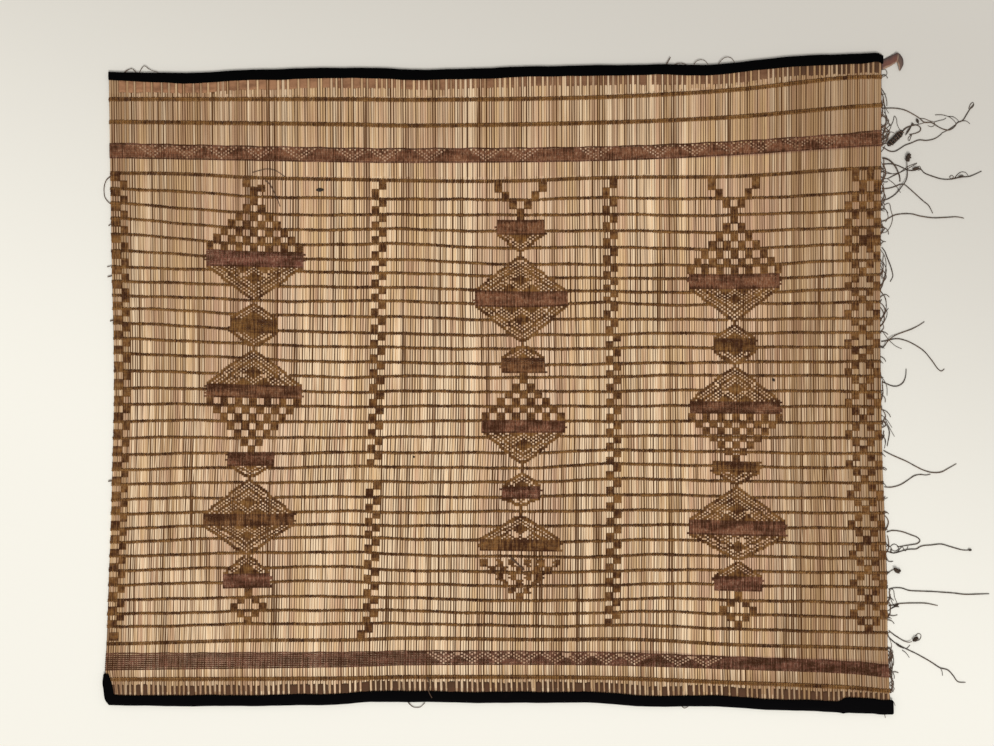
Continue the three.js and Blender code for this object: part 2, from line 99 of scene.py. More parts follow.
# Rows outside the lined field: the place across the mat, and the row's height there.
ROW_PLACES = (-0.6, -0.236, -0.13, 0.152, 0.36, 0.539, 0.6)
OUTER_ROWS = {
    "first": (0.4421, 0.4421, 0.4411, 0.445, 0.4561, 0.4755, 0.477),
    "second": (0.4072, 0.4032, 0.4012, 0.4057, 0.4142, 0.4295, 0.4335),
    "last": (-0.4555, -0.454, -0.4519, -0.453, -0.4603, -0.4675, -0.473),
}
BANDS = {
    "top": (
        (0.375, 0.3675, 0.3667, 0.3694, 0.3776, 0.3897, 0.3962),
        (0.3505, 0.344, 0.3432, 0.3459, 0.3547, 0.3667, 0.3697),
    ),
    "bottom": (
        (-0.414, -0.4125, -0.4104, -0.4125, -0.4197, -0.4266, -0.4316),
        (-0.442, -0.437, -0.434, -0.434, -0.4402, -0.4466, -0.4526),
    ),
}

# How far the stems lean sideways off an even fan, in millimetres: places across, then a row per height.
LEAN_PLACES = (-0.605, -0.378, -0.19, 0.036, 0.175, 0.369, 0.567, 0.6)
LEAN = (
    (-0.333, (0, -13, -11.5, -3, 0, 3, 0, 0)),
    (-0.209, (0, -14, -10.5, -2.5, 3, 4, 0, 0)),
    (-0.085, (0, -8.5, -7, 4, 4.5, 4.5, 0, 0)),
    (0.039, (0, -6.5, -3.5, 4, 5, 4.5, 1, 0)),
    (0.163, (0, -3.5, 1.5, 1.5, 6, 5.5, 2, 0)),
    (0.287, (0, -1.5, 3, 2, 4.5, 3.5, 1, 0)),
)
# How far each line bows off its three heights, in millimetres: places across, then a row per line.
BOW_PLACES = (-0.577, -0.476, -0.378, -0.228, -0.15, 0.036, 0.16, 0.253, 0.369, 0.524)
BOW = (
    (0, (-0.5, 0, -1.5, 0.5, 0, -2, 1.5, 2, 1.5, 1.5)),
    (2, (2, -3.5, -6, -3, 0, -0.5, 1, 0, 0, -0.5)),
    (4, (0.5, -4, -7, -0.5, 2, -3, 0.5, -1.5, -2, 0.5)),
    (6, (0.5, -1, 2, 4, 6, 1, 0.5, 0.5, -2, -0.5)),
    (8, (0.5, 0, -1.5, 1.5, 3.5, -2.5, 2, -1.5, -1, -0.5)),
    (10, (1, -0.5, -3, -2, -2.5, -2.5, 0, 1, 0, 0)),
    (13, (1, 0, -1, -3.5, -1, -3, -1.5, 0.5, 0.5, 0)),
    (16, (0.5, 2, 0.5, 1, 1.5, 2, 0, 1, 0.5, -0.5)),
    (19, (-0.5, 1, 0, 1, 0, -4, 0.5, 1, -0.5, -0.5)),
    (22, (0.5, 2, 0.5, 1, -1.5, -0.5, -0.5, 1, -0.5, -1.5)),
    (24, (-0.5, 4, 5, 6.5, 3.5, 0.5, 0.5, 4, 1.5, -0.5)),
    (26, (0.5, 3, 4, 4, -1, -2.5, -1, 3, 2.5, 1)),
    (29, (0.5, 2, 3, 2, 1, -3, -0.5, 3, 1.5, 1)),
    (31, (1, 2.5, 2.5, 0, 2, 0.5, 1.5, 2.5, 0.5, 3)),
)

STEM_PITCH = 3.855 * MM
STEM_UNEVEN = 0.12
STEM_FLATNESS = 0.78
STEM_MIDDLE = 2.45 * MM
# The round strand of knots and bundles, and the room kept under loose pieces.
STRAND = 0.75 * MM
CLEARANCE = 0.02 * MM
# How far a thong's middle lies off a stem, and the least height of one under the stems.
THONG_LIFT = 0.28 * MM
THONG_FLOOR = 0.42 * MM
# How far a row reaches past its last stem's middle, in stems.
ROW_END = 0.56
# How far the stem ends stay inside the mat's edges, and how far a strip reaches under its binding.
STEM_INSET = 2.1 * MM
STRIP_TUCK = 1.5 * MM
# A boxed ribbon's corners stand out further than its sides, so its half widths are made up by this.
BOX_SPREAD = 1.35


def length_property(name, description, value):
    """A length that can be set in the panel."""
    return FloatProperty(name=name, description=description, default=value, unit="LENGTH")


class MatSizes(bpy.types.PropertyGroup):
    """Sizes of the stems and thongs."""

    stem_fill: FloatProperty(
        name="Stem fill", description="Its width as a share of its room", default=1.12, subtype="FACTOR"
    )
    stem_wander: length_property("Stem wander", "How far a stem strays sideways", 0.00018)
    thong_width: length_property("Thong width", "Across one strand of a twined line", 0.00425)
    row_pitch: length_property("Row pitch", "Between rows of a solid figure", 0.0026)
    stem_steps: IntProperty(name="Stem steps", description="Bends along a stem", default=19)


def colour_property(name, description, value):
    """A colour that can be set in the panel."""
    return FloatVectorProperty(name=name, description=description, subtype="COLOR", size=3, default=value)


class MatColours(bpy.types.PropertyGroup):
    """Colours of the stems and leathers."""

    straw: colour_property("Straw", "Middling stems", (0.83, 0.55, 0.285))
    bright_straw: colour_property("Bright straw", "The palest stems", (1.0, 0.76, 0.5))
    pink_straw: colour_property("Pink straw", "The pinkish stems", (0.76, 0.475, 0.29))
    old_straw: colour_property("Old straw", "Darkened stems and gaps", (0.19, 0.09, 0.036))
    thong: colour_property("Thong", "The twined lines", (0.23, 0.102, 0.027))
    plum: colour_property("Plum", "The dyed bars and bands", (0.195, 0.068, 0.042))
    black: colour_property("Black leather", "The bindings", (0.0012, 0.001, 0.0012))
    strip: colour_property("Edge strip", "The interlaced strips", (0.4, 0.2, 0.102))
    tab: colour_property("Corner tab", "The red-brown tab", (0.125, 0.037, 0.018))
    loose: colour_property("Loose thong", "The loose ends", (0.1, 0.078, 0.06))
    floor: colour_property("Floor", "The pale floor", (0.93, 0.88, 0.79))


def wired(operation, swapped=False):
    """A Python operator that adds a math node."""

    def apply(self, other):
        values = (other, self) if swapped else (self, other)
        return self.nodes.math(operation, *values)

    return apply


class Wire:
    """A node's output that Python's operators work on."""

    def __init__(self, nodes, socket):
        self.nodes = nodes
        self.socket = socket

    __add__ = wired("ADD")
    __radd__ = wired("ADD", swapped=True)
    __sub__ = wired("SUBTRACT")
    __rsub__ = wired("SUBTRACT", swapped=True)
    __mul__ = wired("MULTIPLY")
    __rmul__ = wired("MULTIPLY", swapped=True)


class Nodes:
    """Adds nodes to a tree and joins them."""

    def __init__(self, tree):
        self.tree = tree

    def add(self, kind, inputs=None, output=0, **settings):
        """One node: its settings first, then the value or link of each named input."""
        node = self.tree.nodes.new(kind)
        for name, value in settings.items():
            setattr(node, name, value)
        for name, value in (inputs or {}).items():
            socket = node.inputs[name]
            if isinstance(value, Wire):
                self.tree.links.new(value.socket, socket)
            else:
                socket.default_value = value
        return Wire(self, node.outputs[output]) if node.outputs else None

    def math(self, operation, *values):
        return self.add("ShaderNodeMath", dict(enumerate(values)), operation=operation)

    def vector(self, *values):
        """A vector from three numbers."""
        return self.add("ShaderNodeCombineXYZ", dict(enumerate(values)))

    def parts(self, vector):
        """The three numbers of a vector."""
        axes = self.tree.nodes.new("ShaderNodeSeparateXYZ")
        self.tree.links.new(vector.socket, axes.inputs[0])
        return [Wire(self, socket) for socket in axes.outputs]

    def clamp(self, value):
        return self.add("ShaderNodeClamp", {"Value": value})

    def mix(self, factor, first, second):
        """One colour turning into another as the factor goes from 0 to 1."""
        inputs = {0: factor, 6: self.opaque(first), 7: self.opaque(second)}
        return self.add("ShaderNodeMix", inputs, output=2, data_type="RGBA")

    @staticmethod
    def opaque(colour):
        return colour if isinstance(colour, Wire) else (*colour, 1.0)

    def span(self, value, low, high, to_low=0.0, to_high=1.0):
        """A smooth step from one number to another as the value goes from low to high."""
        inputs = {"Value": value, "From Min": low, "From Max": high, "To Min": to_low, "To Max": to_high}
        return self.add("ShaderNodeMapRange", inputs, interpolation_type="SMOOTHSTEP")

    def window(self, value, low, low_full, high_full, high):
        """Full between two numbers, fading out on both sides."""
        return self.span(value, low, low_full) * self.span(value, high, high_full)

    def noise(self, place, scale, detail=2.0, rough=0.5):
        inputs = {"Vector": place, "Scale": scale, "Detail": detail, "Roughness": rough}
        return self.add("ShaderNodeTexNoise", inputs)


class Finish(Nodes):
    """A material's nodes, with the places that its patterns are drawn on."""

    def __init__(self, name):
        self.material = bpy.data.materials.new(name)
        self.material.use_nodes = True
        super().__init__(self.material.node_tree)
        self.tree.nodes.clear()
        self.place = self.add("ShaderNodeTexCoord", output=3)
        self.x, self.y, self.z = self.parts(self.place)

    def attribute(self, name):
        """The three parts of a piece's own attribute."""
        return self.parts(self.add("ShaderNodeAttribute", output=1, attribute_name=name))

    def scaled(self, x, y, z, shift=0.0):
        """The place on the piece, stretched along each axis and moved along the third."""
        return self.vector(self.x * x, self.y * y, self.z * z + shift)

    def stretched_noise(self, x, y, z, detail=2.0, rough=0.5, shift=0.0):
        """Noise with a size of its own along each axis."""
        return self.noise(self.scaled(x, y, z, shift), 1.0, detail, rough)

    def bump(self, height, strength, distance):
        inputs = {"Height": height, "Strength": strength, "Distance": distance}
        return self.add("ShaderNodeBump", inputs)

    def finish(self, colour, roughness, normal=None, specular=0.5):
        """The surface itself, and the finished material."""
        inputs = {"Base Color": colour, "Roughness": roughness, "Specular IOR Level": specular}
        if normal:
            inputs["Normal"] = normal
        self.add("ShaderNodeOutputMaterial", {"Surface": self.add("ShaderNodeBsdfPrincipled", inputs)})
        return self.material


def colours():
    """The palette set in the panel."""
    return bpy.context.scene.mat_colours


def times(colour, share):
    """A colour made darker or lighter."""
    return tuple(share * part for part in colour)


# Tones that the palette's colours turn into in places.
BAND_SHADE = (0.46, 0.26, 0.19)
COLUMN_BLUSH = (0.72, 0.45, 0.33)
# Painted shade for the gaps between the stems.
STEM_GAP_SHADE = (0.115, 0.044, 0.012)
RUBBED_THONG = (0.32, 0.178, 0.064)
RUBBED_PLUM = (0.4, 0.22, 0.145)
DEEP_THONG = (0.05, 0.0165, 0.0055)
WORN_THONG = (0.3, 0.16, 0.09)
DUST = (0.008, 0.006, 0.006)
PLAIN_BLACK = (0.0, 0.0, 0.0)
STRIP_BLOT = (0.12, 0.05, 0.025)
# Painted shade where a strip runs under the stems.
STRIP_UNDER_STEM_SHADE = (0.03, 0.013, 0.007)
TAB_BLOT = (0.07, 0.022, 0.012)
TAB_FOLD = (0.085, 0.052, 0.034)
TAB_GRAIN = (0.27, 0.11, 0.055)
TAB_RIM = (0.36, 0.22, 0.135)
TAB_SHADE = (0.025, 0.012, 0.008)
TAB_ROOT = (0.045, 0.012, 0.008)
LOOSE_BROWN = (0.16, 0.09, 0.05)
# A paler loose thong: the own colour of strays and tangles, and painted highlights on the skein's turns.
LOOSE_PALE_AND_HIGHLIGHT = (0.21, 0.115, 0.07)
LOOSE_DARK = (0.03, 0.021, 0.015)

# Where the stems are darker: the axis, where the darkening starts, where it is full, and its strength.
STEM_DARKENING = (
    ("x", 0.34, 0.47, 0.5), ("x", 0.535, 0.57, 0.62), ("x", -0.36, -0.5, 0.12), ("x", -0.565, -0.59, 0.3),
    ("y", 0.2, 0.42, 0.18), ("y", 0.34, 0.4, 0.12), ("y", -0.43, -0.465, 0.4),
)
# Middles of the three columns, beside which the stems are redder.
COLUMN_X = (-0.39, 0.027, 0.361)


def sizes():
    """The sizes set in the panel."""
    return bpy.context.scene.mat_sizes


def grass_stem():
    """Dry grass: a tone for each stem and each stretch between lines, fibres, and gaps painted dark as
    shade, in clusters.
    """
    f = Finish("dry_grass_stem")
    palette = colours()
    dark, line, bright = f.attribute("finish")
    across, _, _ = f.attribute("ring")
    stretch = f.math("FLOOR", line)
    turned = f.noise(f.vector(dark * 61.0, stretch * 3.7, bright * 17.0), 1.0, 1.0)
    patches = f.stretched_noise(70, 5, 0, 3.0, 0.6, stretch * 0.25)
    fibres = f.stretched_noise(2600, 45, 2600, 2.0, 0.6)
    streaks = f.stretched_noise(420, 6, 0, 2.0, 0.6, stretch * 0.4)
    cluster = f.span(f.stretched_noise(24, 2, 0, 3.0, 0.7), 0.36, 0.62)
    gaps = f.stretched_noise(230, 2, 0, 1.0, shift=stretch * 0.12)
    colour = f.mix(f.span(patches, 0.4, 0.64), palette.straw, palette.pink_straw)
    lively = f.span(f.y, 0.32, -0.12, 0.5, 1.25)
    paler = f.span(f.math("ABSOLUTE", f.x + 0.19), 0.26, 0.08) * f.span(f.y, 0.16, 0.0)
    light = paler * 0.3 + bright + (turned - 0.5) * 0.9 + (streaks - 0.47) * lively * 2.8
    colour = f.mix(f.clamp(light + (cluster - 0.5) * 0.7), colour, palette.bright_straw)
    banded = f.window(line, -1.02, -1.0, -0.62, -0.55) + f.window(line, 31.4, 31.47, 32.0, 32.02)
    colour = f.mix(banded * 0.55, colour, BAND_SHADE)
    beside = sum(f.span(f.math("ABSOLUTE", f.x - middle), 0.085, 0.05) for middle in COLUMN_X)
    beside = beside * f.span(f.math("ABSOLUTE", f.y), 0.35, 0.3)
    colour = f.mix(beside * 0.3, colour, COLUMN_BLUSH)
    axes = {"x": f.x, "y": f.y}
    # Here the stems are darkened in the listed areas and towards the upper left, and lightened a little in
    # the paler area.
    tone_shift = sum(f.span(axes[axis], start, full) * strength for axis, start, full, strength in STEM_DARKENING)
    tone_shift = tone_shift + f.span(f.y, -0.1, 0.2) * f.span(f.x, -0.3, -0.5) * 0.2 - paler * 0.18
    grain = (fibres - 0.5) * 0.5 + (0.5 - streaks) * lively * 2.0 + (0.5 - turned) * 0.5
    shade = f.clamp(dark + grain + tone_shift)
    colour = f.mix(shade * 0.66, colour, palette.old_straw)
    # Painted shade: each stem's sides are painted dark brown, standing in for the shadow in the gaps
    # between neighbouring stems.
    edge = f.math("ABSOLUTE", across) + (gaps - 0.5) * (cluster * 1.8 + 0.9)
    side = f.span(edge, 0.46, 0.88)
    colour = f.mix(side * 0.95, colour, STEM_GAP_SHADE)
    rough = f.clamp(0.55 + (fibres - 0.5) * 0.5 + side * 0.4)
    return f.finish(colour, rough, f.bump(fibres, 0.35, 0.4 * MM), specular=0.0)


def twined_leather():
    """The thongs of the weave: brown, plum where dyed, rubbed pale in places, and painted darker as shade
    where rows dip between stems.
    """
    f = Finish("twined_leather")
    palette = colours()
    tone, plum, rubbed = f.attribute("finish")
    cloud = f.stretched_noise(26, 85, 0, 3.0)
    grain = f.noise(f.place, 1500.0, 3.0, 0.6)
    ridges = f.stretched_noise(430, 26, 0, 2.0, 0.7)
    flecks = f.stretched_noise(500, 170, 0, 2.0, 0.7)
    colour = f.mix(f.clamp(plum + (cloud - 0.5) * 0.5), palette.thong, palette.plum)
    paler = f.mix(plum, RUBBED_THONG, RUBBED_PLUM)
    colour = f.mix(f.span(flecks, 0.45, 0.7), colour, paler)
    # The tone attribute carries each row's darkness, and with it the painted shade where rows dip between
    # stems.
    deep = f.clamp(0.27 + tone * 0.5 + (cloud - 0.5) * 2.7 + (0.5 - ridges) * 3.2)
    colour = f.mix(deep, colour, DEEP_THONG)
    _, up, _ = f.attribute("ring")
    tone_shift = f.clamp(rubbed * 0.5 + f.clamp(up) * (grain - 0.35) * 0.6)
    colour = f.mix(tone_shift, colour, WORN_THONG)
    rough = f.clamp(0.78 + (grain - 0.5) * 0.4)
    return f.finish(colour, rough, f.bump(grain, 0.4, 0.3 * MM), specular=0.08)


def black_leather():
    """The bindings: dull black with creases and a little dust."""
    f = Finish("black_leather")
    grain = f.noise(f.place, 900.0, 4.0, 0.65)
    creases = f.stretched_noise(60, 220, 60, 4.0, 0.6)
    dust = f.span(f.noise(f.place, 28.0, 5.0, 0.7), 0.6, 0.78)
    colour = f.mix(dust * 0.4, colours().black, DUST)
    colour = f.mix(f.span(f.y, 0.0, 0.2) * 0.7, colour, PLAIN_BLACK)
    rough = f.clamp(0.66 + (grain - 0.5) * 0.4 + dust * 0.2)
    return f.finish(colour, rough, f.bump(grain * 0.4 + creases, 0.6, 0.6 * MM), specular=0.02)


def strip_leather():
    """Brown edge strips: lighter at the first stems, darker and redder at the last, with painted shade
    where they pass under the stems.
    """
    f = Finish("edge_strip_leather")
    brown = colours().strip
    grain = f.noise(f.place, 1100.0, 4.0, 0.6)
    blots = f.stretched_noise(30, 60, 0, 4.0, 0.6)
    colour = f.mix(f.span(f.x, -0.6, 0.5), brown, times(brown, 0.5))
    colour = f.mix(f.span(f.x, 0.42, 0.47), colour, times(brown, 0.21))
    colour = f.mix(f.span(f.y, 0.0, -0.1), colour, times(brown, 0.23))
    colour = f.mix(f.span(blots, 0.4, 0.68) * 0.6, colour, STRIP_BLOT)
    # Painted shade: the strip is painted darker where it runs low, under the stems.
    low = f.span(f.z, 4.0 * MM, 2.6 * MM)
    colour = f.mix(low * 0.6, colour, STRIP_UNDER_STEM_SHADE)
    rough = f.clamp(0.7 + (grain - 0.5) * 0.5)
    return f.finish(colour, rough, f.bump(grain, 0.5, 0.4 * MM), specular=0.08)


def tab_leather():
    """Red-brown leather, paler along its cut edges and greyer on the folded end."""
    f = Finish("tab_leather")
    rim, folded, shaded = f.attribute("finish")
    grain = f.noise(f.place, 900.0, 4.0, 0.6)
    blots = f.noise(f.place, 120.0, 3.0, 0.6)
    colour = f.mix(f.span(blots, 0.4, 0.7) * 0.7, colours().tab, TAB_BLOT)
    colour = f.mix(folded * 0.75, colour, TAB_FOLD)
    colour = f.mix(f.span(grain, 0.58, 0.75) * 0.35, colour, TAB_GRAIN)
    colour = f.mix(f.span(rim + (blots - 0.5) * 1.2, 0.5, 1.0) * 0.7, colour, TAB_RIM)
    colour = f.mix(shaded * 0.8, colour, TAB_SHADE)
    colour = f.mix(f.span(f.x, 0.5895, 0.5865), colour, TAB_ROOT)
    rough = f.clamp(0.5 + (grain - 0.5) * 0.5)
    return f.finish(colour, rough, f.bump(grain + blots, 0.5, 0.6 * MM))


def loose_leather():
    """Loose thongs: grey-brown, with a twist running round them."""
    f = Finish("loose_thong_leather")
    tone, run, brown = f.attribute("finish")
    side, up, _ = f.attribute("ring")
    twist = f.math("SINE", run * 2300.0 + f.math("ARCTAN2", up, side) * 2.0)
    grain = f.noise(f.place, 1400.0, 3.0, 0.6)
    patches = f.noise(f.place, 45.0, 3.0, 0.6)
    colour = f.mix(f.span(patches, 0.35, 0.7), colours().loose, LOOSE_BROWN)
    colour = f.mix(brown * 0.55, colour, LOOSE_PALE_AND_HIGHLIGHT)
    colour = f.mix(f.clamp(0.15 - twist * 0.25 + tone * 0.6), colour, LOOSE_DARK)
    rough = f.clamp(0.72 + (grain - 0.5) * 0.4)
    return f.finish(colour, rough, f.bump(twist * 0.5 + grain * 0.5, 0.5, 0.3 * MM), specular=0.15)


def plain_floor():
    """The floor: plain, and a little darker away from the light."""
    f = Finish("plain_floor")
    pale = colours().floor
    drift = f.span(f.x * 0.35 + f.y * 1.1, -0.35, 0.85)
    near = tuple(min(1.0, part) for part in times(pale, 1.1))
    return f.finish(f.mix(drift, near, times(pale, 0.72)), 0.8, specular=0.05)


def sweep_tree():
    """A closed tube along each path of edges, with its width read from the path."""
    tree = bpy.data.node_groups.get("sweep")
    if tree:
        return tree
    tree = bpy.data.node_groups.new("sweep", "GeometryNodeTree")
    sockets = {"Geometry": "Geometry", "Sides": "Int", "Flatness": "Float", "Turn": "Float",
               "Smooth": "Bool", "Material": "Material"}
    for name, kind in sockets.items():
        tree.interface.new_socket(name, in_out="INPUT", socket_type="NodeSocket" + kind)
    tree.interface.new_socket("Geometry", in_out="OUTPUT", socket_type="NodeSocketGeometry")
    n = Nodes(tree)
    entry = tree.nodes.new("NodeGroupInput")
    paths, sides, flatness, turn, smooth, material = (Wire(n, entry.outputs[name]) for name in sockets)
    curve = n.add("GeometryNodeMeshToCurve", {"Mesh": paths})
    curve = n.add("GeometryNodeSetCurveNormal", {"Curve": curve}, mode="Z_UP")
    ring = n.add("GeometryNodeCurvePrimitiveCircle", {"Resolution": sides, "Radius": 1.0})
    ring = n.add("GeometryNodeTransform", {"Geometry": ring, "Rotation": n.vector(0.0, 0.0, turn)})
    named = {"Geometry": ring, "Name": "ring", "Value": n.add("GeometryNodeInputPosition")}
    ring = n.add("GeometryNodeStoreNamedAttribute", named, data_type="FLOAT_VECTOR")
    ring = n.add("GeometryNodeTransform", {"Geometry": ring, "Scale": n.vector(1.0, flatness, 1.0)})
    width = n.add("GeometryNodeInputNamedAttribute", {"Name": "half_width"})
    swept = {"Curve": curve, "Profile Curve": ring, "Scale": width, "Fill Caps": True}
    tube = n.add("GeometryNodeCurveToMesh", swept)
    tube = n.add("GeometryNodeSetShadeSmooth", {"Geometry": tube, "Shade Smooth": smooth})
    tube = n.add("GeometryNodeRealizeInstances", {"Geometry": tube})
    tube = n.add("GeometryNodeSetMaterial", {"Geometry": tube, "Material": material})
    n.add("NodeGroupOutput", {"Geometry": tube})
    return tree


def place(mesh, name):
    """An object that shows a mesh."""
    piece = bpy.data.objects.new(name, mesh)
    bpy.context.scene.collection.objects.link(piece)
    return piece


def seat(piece, node):
    """Let a piece ride the mat's body and stand in for a CAD node."""
    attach(piece, "root")
    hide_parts(node)
    return piece


def set_values(mesh, name, kind, values):
    """Give each point of a mesh a number or a vector of its own."""
    layer = mesh.attributes.new(name, kind, "POINT")
    member = "vector" if kind == "FLOAT_VECTOR" else "value"
    layer.data.foreach_set(member, np.asarray(values, np.float32).ravel())


def sweep(name, paths, material, sides, flatness=1.0, boxed=False):
    """A piece of closed tubes. Each path's rows are x, y, z, half width, and three finish values.

    A boxed tube has four flat sides, the widest of them up and down.
    """
    points = np.concatenate(paths)
    points[:, :2] -= ORIGIN
    mesh = bpy.data.meshes.new(name)
    mesh.vertices.add(len(points))
    mesh.vertices.foreach_set("co", points[:, :3].ravel())
    first = np.arange(len(points) - 1)
    last_of_path = np.cumsum([len(path) for path in paths])[:-1] - 1
    first = np.delete(first, last_of_path)
    mesh.edges.add(len(first))
    mesh.edges.foreach_set("vertices", np.stack([first, first + 1], axis=1).ravel())
    set_values(mesh, "half_width", "FLOAT", points[:, 3])
    set_values(mesh, "finish", "FLOAT_VECTOR", points[:, 4:7])
    piece = place(mesh, name)
    tree = sweep_tree()
    modifier = piece.modifiers.new("sweep", "NODES")
    modifier.node_group = tree
    values = {"Sides": sides, "Flatness": flatness, "Turn": math.pi / 4 if boxed else 0.0,
              "Smooth": not boxed, "Material": material}
    for item in tree.interface.items_tree:
        if item.in_out == "INPUT" and item.name in values:
            modifier[item.identifier] = values[item.name]
    bpy.context.view_layer.update()
    depsgraph = bpy.context.evaluated_depsgraph_get()
    solid = bpy.data.meshes.new_from_object(
        piece.evaluated_get(depsgraph), preserve_all_data_layers=True, depsgraph=depsgraph
    )
    piece.modifiers.clear()
    piece.data = solid
    solid.name = name
    bpy.data.meshes.remove(mesh)
    spare = solid.attributes.get("half_width")
    if spare:
        solid.attributes.remove(spare)
    return piece


def along(table, at):
    """A smooth curve through the rows of an edge table."""
    xs, ys = np.array(table, float).T
    last = len(xs) - 1
    before = np.maximum(np.arange(len(xs)) - 1, 0)
    after = np.minimum(np.arange(len(xs)) + 1, last)
    slope = (ys[after] - ys[before]) / (xs[after] - xs[before])
    at = np.asarray(at, float)
    i = np.clip(np.searchsorted(xs, at) - 1, 0, last - 1)
    span = xs[i + 1] - xs[i]
    t = np.clip((at - xs[i]) / span, 0, 1)
    rise = slope[i] * span * (t**3 - 2 * t**2 + t) + slope[i + 1] * span * (t**3 - t**2)
    return ys[i] * (2 * t**3 - 3 * t**2 + 1) + ys[i + 1] * (3 * t**2 - 2 * t**3) + rise


def field(places, table, x, at):
    """A table of small shifts, read between its rows and places."""
    x, at = np.broadcast_arrays(np.asarray(x, float), np.asarray(at, float))
    levels = np.array([row[0] for row in table], float)
    low = np.clip(np.searchsorted(levels, at) - 1, 0, len(levels) - 2)
    part = np.clip((at - levels[low]) / (levels[low + 1] - levels[low]), 0, 1)
    found = np.zeros(x.shape)
    for i in np.unique(np.concatenate([low.ravel(), low.ravel() + 1])):
        share = np.where(low == i, 1 - part, np.where(low + 1 == i, part, 0))
        found = found + share * along(tuple(zip(places, table[i][1])), x)
    return found * MM


def uneven_sides():
    """Where each stem's two sides lie, in stem widths from the mat's first side."""
    rng = np.random.default_rng(SEED)
    inner = np.arange(1, STEMS) + rng.uniform(-STEM_UNEVEN, STEM_UNEVEN, STEMS - 1)
    return np.concatenate([[0.0], inner, [STEMS]])


SIDES = uneven_sides()
STEM_RADII = np.diff(SIDES) * STEM_PITCH / 2


def stem_x(stem, y):
    """The place across the mat of a stem, counted from the first, at height y."""
    stem = np.asarray(stem, float)
    middles = (SIDES[1:] + SIDES[:-1]) / 2
    marks = np.stack([SIDES[:-1], middles], axis=1).ravel()
    counted = np.interp(stem + 0.5, np.arange(2 * STEMS) / 2, marks)
    counted = np.where((stem < -0.5) | (stem > STEMS - 0.75), stem + 0.5, counted)
    share = counted / STEMS
    x = along(LEFT_EDGE, y) * (1 - share) + along(RIGHT_EDGE, y) * share
    # The first stems are drawn in at the bottom corner.
    corner = 7.5 * MM * np.clip((-0.45 - y) / 0.045, 0, 1) ** 1.5 * np.clip(1 - share / 0.03, 0, 1)
    return x + corner + field(LEAN_PLACES, LEAN, x, y)


def lying_on(stems):
    """Height of a thong over each stem."""
    radius = STEM_RADII[np.clip(np.round(stems).astype(int), 0, LAST_STEM)]
    return STEM_MIDDLE + STEM_FLATNESS * radius + THONG_LIFT


def lying_under(stems):
    """Height of a thong under each stem."""
    return np.maximum(2 * STEM_MIDDLE - lying_on(stems), THONG_FLOOR)


def hump(x, middle, half):
    """A smooth rise from 0 to 1 and back, round a middle."""
    return np.clip(1 - ((x - middle) / half) ** 2, 0, None) ** 2


def line_y(k, x):
    """Height of the twined line k, or of a place between two lines, at x."""
    table = np.array(LINES)
    x = np.asarray(x, float)
    k = np.clip(np.broadcast_to(np.asarray(k, float), x.shape), 0, LAST_LINE)
    low = np.clip(k.astype(int), 0, LAST_LINE - 1)
    part = k - low
    at_places = table[low] * (1 - part[..., None]) + table[low + 1] * part[..., None]
    left, middle, right = np.moveaxis(at_places, -1, 0)
    first, second, third = LINE_PLACES
    west = left + (middle - left) * (x - first) / (second - first)
    east = middle + (right - middle) * (x - second) / (third - second)
    soften = 0.02
    blend = 1 / (1 + np.exp(-(x - second) / soften))
    y = west * (1 - blend) + east * blend
    # Two wide humps: one through all the lines, one through the upper ten.
    y = y + (-6.8 + 10.6 * k / LAST_LINE) * MM * hump(x, -0.181, 0.372)
    y = y - 5 * MM * np.clip(1 - k / 10, 0, None) * hump(x, 0.366, 0.194)
    return y + field(BOW_PLACES, BOW, x, k)


def row_y(heights, x):
    """Height at x of a row that is given by its heights at ROW_PLACES."""
    return along(tuple(zip(ROW_PLACES, heights)), x)


def moved(height, by):
    """A row's height function, moved up or down."""
    return lambda x: height(x) + by


def ripple(rng, x, size, span):
    """A small irregular wave along x."""
    wave = np.zeros_like(x)
    for part in (1.0, 2.3, 5.1):
        wave += np.sin(x * 2 * math.pi * part / span + rng.uniform(0, 6.3)) / part
    return wave * size * 0.6


def across(stems, height):
    """Places of a row over stems, where height gives the row's y for an x."""
    x = stem_x(stems, 0.0)
    x = stem_x(stems, height(x))
    return x, height(x)


def rows_of(*columns):
    """Path rows from columns, any of which may be one number."""
    length = max(np.size(column) for column in columns)
    return np.stack([np.broadcast_to(column, length).astype(float) for column in columns], axis=1)


def with_ends(before, values, after):
    """Values with one more at each end."""
    return np.concatenate([[before], values, [after]])


def twined(height, first, last, rng, tone=0.3, width=None):
    """The two strands of a line, each over one stem and under the next."""
    half = (width or sizes().thong_width) / 2
    stems = np.arange(first, last + 1)
    tone = tone + rng.uniform(-0.15, 0.15)
    beside = np.tile([-0.27, 0.27], len(stems))
    at = with_ends(first - ROW_END, np.repeat(stems, 2) + beside, last + ROW_END)
    x, y = across(at, height)
    strands = []
    for start in (0, 1):
        over = np.repeat((stems + start) % 2 == 0, 2)
        lean = np.where(over, 1.0, -1.0) * np.tile([-0.45, 0.45], len(stems)) * half
        z = np.where(over, lying_on(at[1:-1]), lying_under(at[1:-1]))
        wide = half * (1 + 0.12 * rng.standard_normal(len(at)))
        z = np.maximum(with_ends(STEM_MIDDLE, z, STEM_MIDDLE), 0.36 * wide)
        shade = np.clip(tone + 0.12 * rng.standard_normal(len(at)), 0, 1)
        rubbed = np.clip(rng.uniform(-0.5, 0.4, len(at)), 0, 1)
        strands.append(rows_of(x, y + with_ends(0.0, lean, 0.0), z, wide, shade, 0, rubbed))
    return strands


